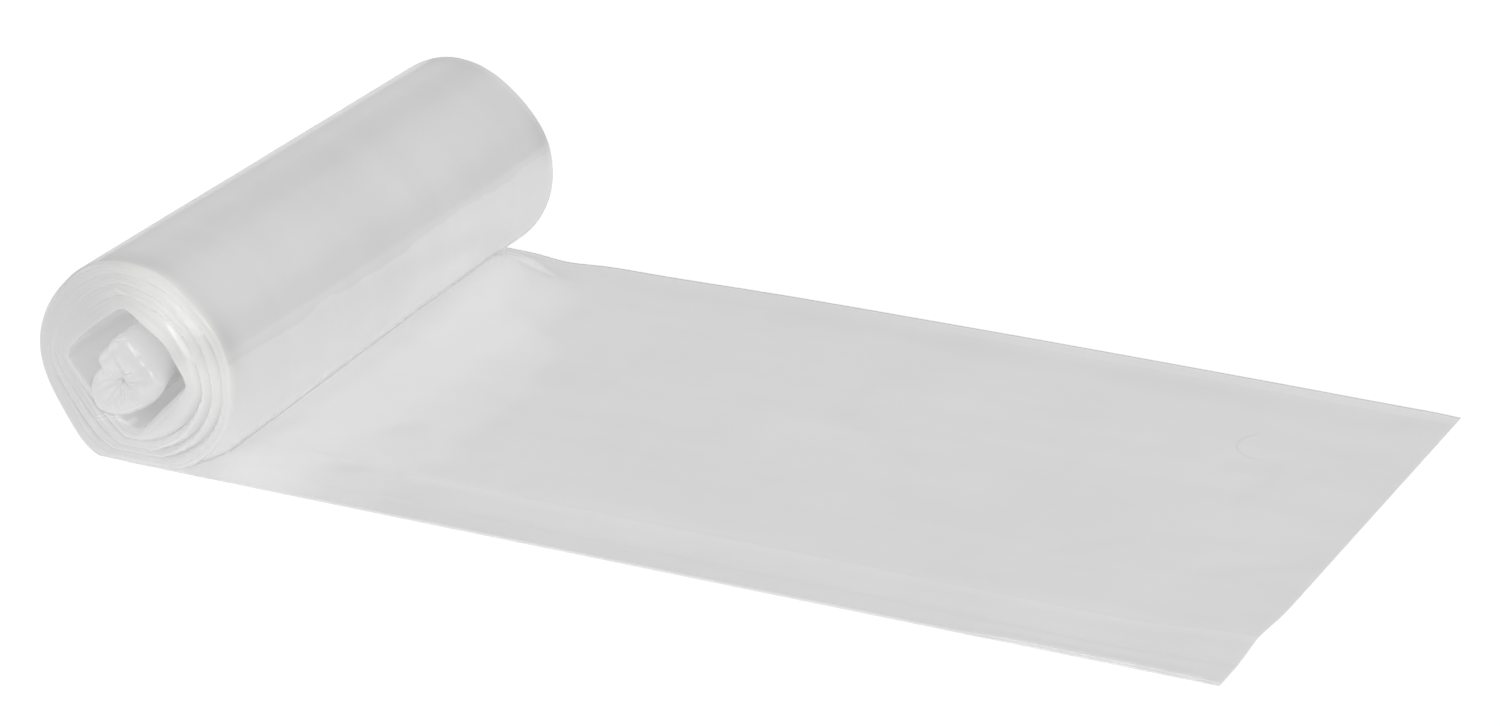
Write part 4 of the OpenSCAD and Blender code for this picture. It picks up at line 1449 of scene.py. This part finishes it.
@dataclass(frozen=True)
class FilmFinish:
    """Frosted whitish film with a soft satin gloss, and painted light, shade and highlights in its colour.

    Args:
        glints_from: The x of the roll's axis and the y of its near end, in metres in the part's frame.
        name: Name of the material.
        dull: Colour of the film in its darker clouds.
        clear: Colour of the film in its lighter clouds.
        clouds: Values of the noise that count as the darkest and as the lightest.
        fold: Colour of the painted highlight on the turns' edges and on the open near edge of the stretch.
        roughness: Roughness of the gloss.
        spread: Share of the light that spreads inside the film.
        depth: How far it spreads, in metres.
        relief: Height of the crinkles, in metres.
        glow: A faint even glow, for the light that the layers of film pass on to each other.
        gloss: Weight of the smooth gloss over the film.
        gloss_roughness: Roughness of that gloss.
        ring_middle: Middle of the ring of painted shade along a crease in the sheet, in metres in the part's
            frame.
        ring_radius: Radius of that ring, in metres.
        ring_width: Width of its line, in metres.
        ring_shade: How dark its painted shade is.
        ring_slant: Direction in which the ring is open, as the y for each x.
        ring_open: Places along that direction between which the line fades out, in metres.
        band_shade: How much darker the painted shade makes the roll's upper side.
        band_wave: How far the lower end of that band of painted shade swings up and down, in millimetres.
        band_soft: Half the width over which it ends, in millimetres.
        white: Colour of the painted highlights on the roll's near end.
        glint_strokes: Those painted highlights.
        glints_deep: Distances behind the near end between which the painted highlights fade out, in metres.
    """

    glints_from: Pair
    name: str = "frosted_film"
    dull: tuple[float, float, float] = (0.775, 0.775, 0.775)
    clear: tuple[float, float, float] = (0.835, 0.835, 0.835)
    clouds: Pair = (0.35, 0.65)
    fold: tuple[float, float, float] = (0.91, 0.91, 0.895)
    roughness: float = 0.3
    spread: float = 0.7
    depth: float = 0.0018
    relief: float = 0.0003
    glow: float = 0.157
    gloss: float = 0.9
    gloss_roughness: float = 0.07
    ring_middle: Pair = (0.1794, 0.065)
    ring_radius: float = 0.0125
    ring_width: float = 0.0009
    ring_shade: float = 0.1
    ring_slant: float = 0.35
    ring_open: Pair = (-0.008, -0.002)
    band_shade: float = 0.07
    band_wave: float = 3.0
    band_soft: float = 0.5
    white: tuple[float, float, float] = (1.0, 1.0, 0.995)
    glint_strokes: tuple[GlintStroke, ...] = GLINT_STROKES
    glints_deep: Pair = (0.006, 0.01)

    def crease_ring_shade(self, graph: Graph) -> bpy.types.NodeSocket:
        """Add the painted shade along the faint open ring that is creased into the sheet, and return how dark
        it is.
        """
        place = graph.add("ShaderNodeTexCoord").outputs["Object"]
        off = graph.vector("SUBTRACT", place, (*self.ring_middle, 0.0))
        split = graph.add("ShaderNodeSeparateXYZ", Vector=off)
        x, y = split.outputs["X"], split.outputs["Y"]
        away = graph.math("SQRT", graph.math("ADD", graph.math("POWER", x, 2.0), graph.math("POWER", y, 2.0)))
        near = graph.math("ABSOLUTE", graph.math("SUBTRACT", away, self.ring_radius))
        line = graph.fade(near, 0.0, self.ring_width, self.ring_shade, 0.0)
        side = graph.math("MULTIPLY_ADD", y, self.ring_slant, x)
        low, high = self.ring_open
        opened = graph.add("ShaderNodeMapRange", Value=side, From_Min=high, From_Max=low)
        return graph.math("MULTIPLY", line, opened.outputs[0])

    def painted_glints(self, graph: Graph) -> bpy.types.NodeSocket:
        """Add the painted highlights on the roll's near end, and return their mask."""
        place = graph.add("ShaderNodeTexCoord").outputs["Object"]
        near = graph.vector("SUBTRACT", place, (*self.glints_from, 0.0))
        flat = graph.vector("MULTIPLY", near, (1.0, 0.0, 1.0))
        group = stroke_group()
        total: bpy.types.NodeSocket | float = 0.0
        for stroke in self.glint_strokes:
            start = Vector((stroke.start[0], 0.0, stroke.start[1])) * MM
            way = Vector((stroke.end[0], 0.0, stroke.end[1])) * MM - start
            mask = graph.add(
                "ShaderNodeGroup", {"node_tree": group}, Vector=flat, Start=start, Way=way,
                Length_Squared=way.length_squared, Half_Width=stroke.width * MM / 2.0,
            ).outputs["Mask"]
            total = graph.math("MAXIMUM", total, mask)
        deep = graph.add("ShaderNodeSeparateXYZ", Vector=near).outputs["Y"]
        return graph.math("MULTIPLY", total, graph.fade(deep, *self.glints_deep, 1.0, 0.0))

    def painted_band_shade(self, graph: Graph, place: bpy.types.NodeSocket) -> bpy.types.NodeSocket:
        """Add the painted shade over the roll's upper side, a band that ends in a wavy line, and return how
        dark it is.
        """
        swing = graph.math("SUBTRACT", graph.noise(place, 110.0, 3.0, (0.4, 1.0)), 0.5)
        above = graph.math("MULTIPLY_ADD", swing, self.band_wave, graph.attribute("band"))
        return graph.fade(above, -self.band_soft, self.band_soft, 0.0, self.band_shade)

    def colour(
        self, graph: Graph, place: bpy.types.NodeSocket, mottle: bpy.types.NodeSocket,
    ) -> bpy.types.NodeSocket:
        """Add the film's colour, with its painted light, shade and highlights, and return it.

        Args:
            graph: The material's nodes.
            place: Place on the film, in metres along and across it.
            mottle: Value of the film's clouds.
        """
        low, high = self.clouds
        clear = graph.add("ShaderNodeMapRange", Value=mottle, From_Min=low, From_Max=high)
        plain = graph.blend(clear.outputs[0], (*self.dull, 1.0), (*self.clear, 1.0))
        # Painted highlight colour where the mesh marks the turns' lit edges and the near edge's glint.
        folded = graph.blend(graph.attribute("fold"), plain, (*self.fold, 1.0))
        # Painted shade of the creased ring and of the band over the roll.
        dark = graph.math("ADD", self.crease_ring_shade(graph), self.painted_band_shade(graph, place))
        # Painted light and shade kept in the mesh, less that painted shade.
        level = graph.math("SUBTRACT", graph.math("ADD", graph.attribute("tone"), 1.0), dark)
        # Painted highlights on the roll's near end, blended over the colour.
        return graph.blend(self.painted_glints(graph), graph.scaled(folded, level), (*self.white, 1.0))

    def material(self) -> bpy.types.Material:
        """Make the material."""
        material = bpy.data.materials.new(self.name)
        material.use_nodes = True
        tree = material.node_tree
        tree.nodes.clear()
        graph = Graph(tree)
        place = graph.add("ShaderNodeUVMap", {"uv_map": UV_MAP}).outputs[0]
        surface = graph.add("ShaderNodeGroup", {"node_tree": film_surface_group()}, Vector=place)
        height = surface.outputs["Height"]
        bump = graph.add("ShaderNodeBump", Height=height, Distance=self.relief, Strength=1.0)
        shader = graph.add(
            "ShaderNodeBsdfPrincipled", {"subsurface_method": "RANDOM_WALK"},
            Base_Color=self.colour(graph, place, surface.outputs["Tone"]), Normal=bump.outputs[0],
            Roughness=self.roughness, Coat_Weight=self.gloss, Coat_Roughness=self.gloss_roughness,
            Subsurface_Weight=self.spread, Subsurface_Scale=self.depth, Subsurface_Radius=(1.0, 1.0, 1.0),
            Emission_Color=(1.0, 1.0, 1.0, 1.0), Emission_Strength=self.glow,
        )
        graph.add("ShaderNodeOutputMaterial", Surface=shader.outputs[0])
        return material


@dataclass(frozen=True)
class Softbox:
    """A soft bright window in the studio's sky, in degrees.

    Args:
        azimuth: Direction of its middle, 0 in front and 90 towards the free end.
        elevation: Height of its middle above the horizon.
        width: How wide it is.
        height: How high it is.
        strength: How bright it is.
    """

    azimuth: float
    elevation: float
    width: float
    height: float
    strength: float


def softbox_group() -> bpy.types.NodeTree:
    """Make the group that masks one softbox.

    Returns:
        A group with the inputs Azimuth, Elevation, Middle, Level, Half Width, Half Height and Edge, all
        in degrees, and the output Mask.
    """
    names = ("Azimuth", "Elevation", "Middle", "Level", "Half Width", "Half Height", "Edge")
    group = Group("softbox", (), names)
    azimuth, elevation, middle, level, half_width, half_height, edge = (group.given[name] for name in names)
    turned = group.math("WRAP", group.math("SUBTRACT", azimuth, middle), 180.0, -180.0)
    raised = group.math("SUBTRACT", elevation, level)
    sides = []
    for off, half in ((turned, half_width), (raised, half_height)):
        inside = group.math("SUBTRACT", half, group.math("ABSOLUTE", off))
        sides.append(group.fade(group.math("DIVIDE", inside, edge), -0.5, 0.5))
    return group.finish(Mask=group.math("MULTIPLY", *sides))


@dataclass(frozen=True)
class Studio:
    """Pale floor, soft light and the camera.

    Args:
        lens: Focal length in millimetres.
        azimuth: The camera's direction round the part, in degrees.
        elevation: The camera's height above the horizon, in degrees.
        tilt: How far the camera leans to one side, in degrees.
        eye: The camera's place from the floor under the roll's near end, in metres.
        floor_size: Length of the floor's sides, in metres.
        floor_drop: How far the floor lies below the part, in metres.
        floor_colour: How pale the floor is.
        floor_glow: How brightly it glows on the part.
        floor_white: How brightly it glows in the picture.
        sky_low: Brightness of the sky near the horizon.
        sky_high: Brightness of the sky overhead.
        sky_run: Heights between which it changes, in degrees above the horizon.
        backdrop: Brightness of the sky in the picture.
        softboxes: The windows of light.
        softbox_edge: Width of their soft edges, in degrees.
    """

    lens: float = 116.053
    azimuth: float = 25.604
    elevation: float = 22.697
    tilt: float = -0.151
    eye: tuple[float, float, float] = (0.90252, -1.36524, 0.71797)
    floor_size: float = 30.0
    floor_drop: float = 0.0003
    floor_colour: float = 0.85
    floor_glow: float = 0.22
    floor_white: float = 0.55
    sky_low: float = 0.37
    sky_high: float = 0.76
    sky_run: Pair = (40.0, 60.0)
    backdrop: float = 1.1
    softboxes: tuple[Softbox, ...] = (
        Softbox(40.0, 34.0, 16.0, 14.0, 5.0),
        Softbox(67.0, 12.0, 50.0, 26.0, 1.3),
        Softbox(115.0, 17.0, 45.0, 16.0, 0.15),
        Softbox(292.0, 17.0, 45.0, 16.0, 1.56),
        Softbox(247.0, 37.0, 45.0, 26.0, 0.54),
        Softbox(20.0, 12.0, 45.0, 26.0, 0.08),
        Softbox(200.0, 12.0, 45.0, 26.0, 0.27),
        Softbox(160.0, 37.0, 45.0, 26.0, 0.23),
        Softbox(337.0, 37.0, 45.0, 26.0, 0.65),
    )
    softbox_edge: float = 12.0

    def floor(self) -> None:
        """Lay the pale floor."""
        mesh = bpy.data.meshes.new("floor")
        bm = bmesh.new()
        bmesh.ops.create_grid(bm, x_segments=1, y_segments=1, size=self.floor_size / 2.0)
        bmesh.ops.translate(bm, verts=bm.verts, vec=(0.0, 0.0, -self.floor_drop))
        bm.to_mesh(mesh)
        bm.free()
        material = bpy.data.materials.new("pale_floor")
        material.use_nodes = True
        shader = material.node_tree.nodes["Principled BSDF"]
        shader.inputs["Base Color"].default_value = (self.floor_colour,) * 3 + (1.0,)
        shader.inputs["Roughness"].default_value = 1.0
        shader.inputs["Specular IOR Level"].default_value = 0.0
        shader.inputs["Emission Color"].default_value = (1.0, 1.0, 1.0, 1.0)
        graph = Graph(material.node_tree)
        seen = graph.add("ShaderNodeLightPath").outputs["Is Camera Ray"]
        glow = graph.add("ShaderNodeMapRange", Value=seen, To_Min=self.floor_glow, To_Max=self.floor_white)
        material.node_tree.links.new(glow.outputs[0], shader.inputs["Emission Strength"])
        mesh.materials.append(material)
        floor = bpy.data.objects.new("floor", mesh)
        bpy.context.scene.collection.objects.link(floor)

    def sky(self) -> None:
        """Light the studio with an even sky and soft windows, with plain white behind the part."""
        world = bpy.data.worlds.new("studio")
        world.use_nodes = True
        tree = world.node_tree
        tree.nodes.clear()
        graph = Graph(tree)
        way = graph.add("ShaderNodeTexCoord")
        split = graph.add("ShaderNodeSeparateXYZ", Vector=way.outputs["Generated"])
        elevation = graph.math("DEGREES", graph.math("ARCSINE", split.outputs["Z"]))
        front = graph.math("MULTIPLY", split.outputs["Y"], -1.0)
        azimuth = graph.math("DEGREES", graph.math("ARCTAN2", split.outputs["X"], front))
        level = graph.fade(elevation, *self.sky_run, self.sky_low, self.sky_high)
        group = softbox_group()
        for box in self.softboxes:
            mask = graph.add(
                "ShaderNodeGroup", {"node_tree": group}, Azimuth=azimuth, Elevation=elevation,
                Middle=box.azimuth, Level=box.elevation, Half_Width=box.width / 2.0,
                Half_Height=box.height / 2.0, Edge=self.softbox_edge,
            ).outputs["Mask"]
            level = graph.math("MULTIPLY_ADD", mask, box.strength, level)
        seen = graph.add("ShaderNodeLightPath").outputs["Is Camera Ray"]
        strength = graph.add("ShaderNodeMix", {"data_type": "FLOAT"}, i0=seen, i2=level, i3=self.backdrop)
        back = graph.add("ShaderNodeBackground", Strength=strength.outputs[0])
        graph.add("ShaderNodeOutputWorld", Surface=back.outputs[0])
        bpy.context.scene.world = world

    def camera(self, origin: Vector) -> None:
        """Set the camera.

        Args:
            origin: The floor under the roll's near end, in metres.
        """
        a, e, r = (math.radians(v) for v in (self.azimuth, self.elevation, self.tilt))
        back = Vector((math.sin(a) * math.cos(e), -math.cos(a) * math.cos(e), math.sin(e)))
        level = Vector((math.cos(a), math.sin(a), 0.0))
        upright = back.cross(level)
        right = level * math.cos(r) + upright * math.sin(r)
        up = upright * math.cos(r) - level * math.sin(r)
        data = bpy.data.cameras.new("camera")
        data.lens = self.lens
        data.clip_end = 100.0
        camera = bpy.data.objects.new("camera", data)
        turned = Matrix((right, up, back)).transposed().to_4x4()
        camera.matrix_world = Matrix.Translation(origin + Vector(self.eye)) @ turned
        bpy.context.scene.collection.objects.link(camera)
        bpy.context.scene.camera = camera

    def build(self, origin: Vector) -> None:
        """Set up the floor, the light and the camera.

        Args:
            origin: The floor under the roll's near end, in metres.
        """
        self.floor()
        self.sky()
        self.camera(origin)
        bpy.context.scene.view_settings.view_transform = "Standard"


def main() -> None:
    """Build the web and the studio, and report each piece."""
    logging.basicConfig(level=logging.INFO, format="%(name)s: %(message)s")
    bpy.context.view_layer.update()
    low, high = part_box(NODE)
    stretch = Stretch()
    axis_x = high.x / MM - stretch.cad_reach
    web = FilmWeb(width=(high.y - low.y) / MM, middle=(axis_x, low.y / MM), stretch=stretch)
    piece, length = web.build(FilmFinish(glints_from=(axis_x * MM, low.y)))
    LOG.info("%s: %d faces, %.2f m of film", piece.name, len(piece.data.polygons), length)
    Studio().build(Vector((axis_x * MM, low.y, 0.0)))


if __name__ == "__main__":
    main()
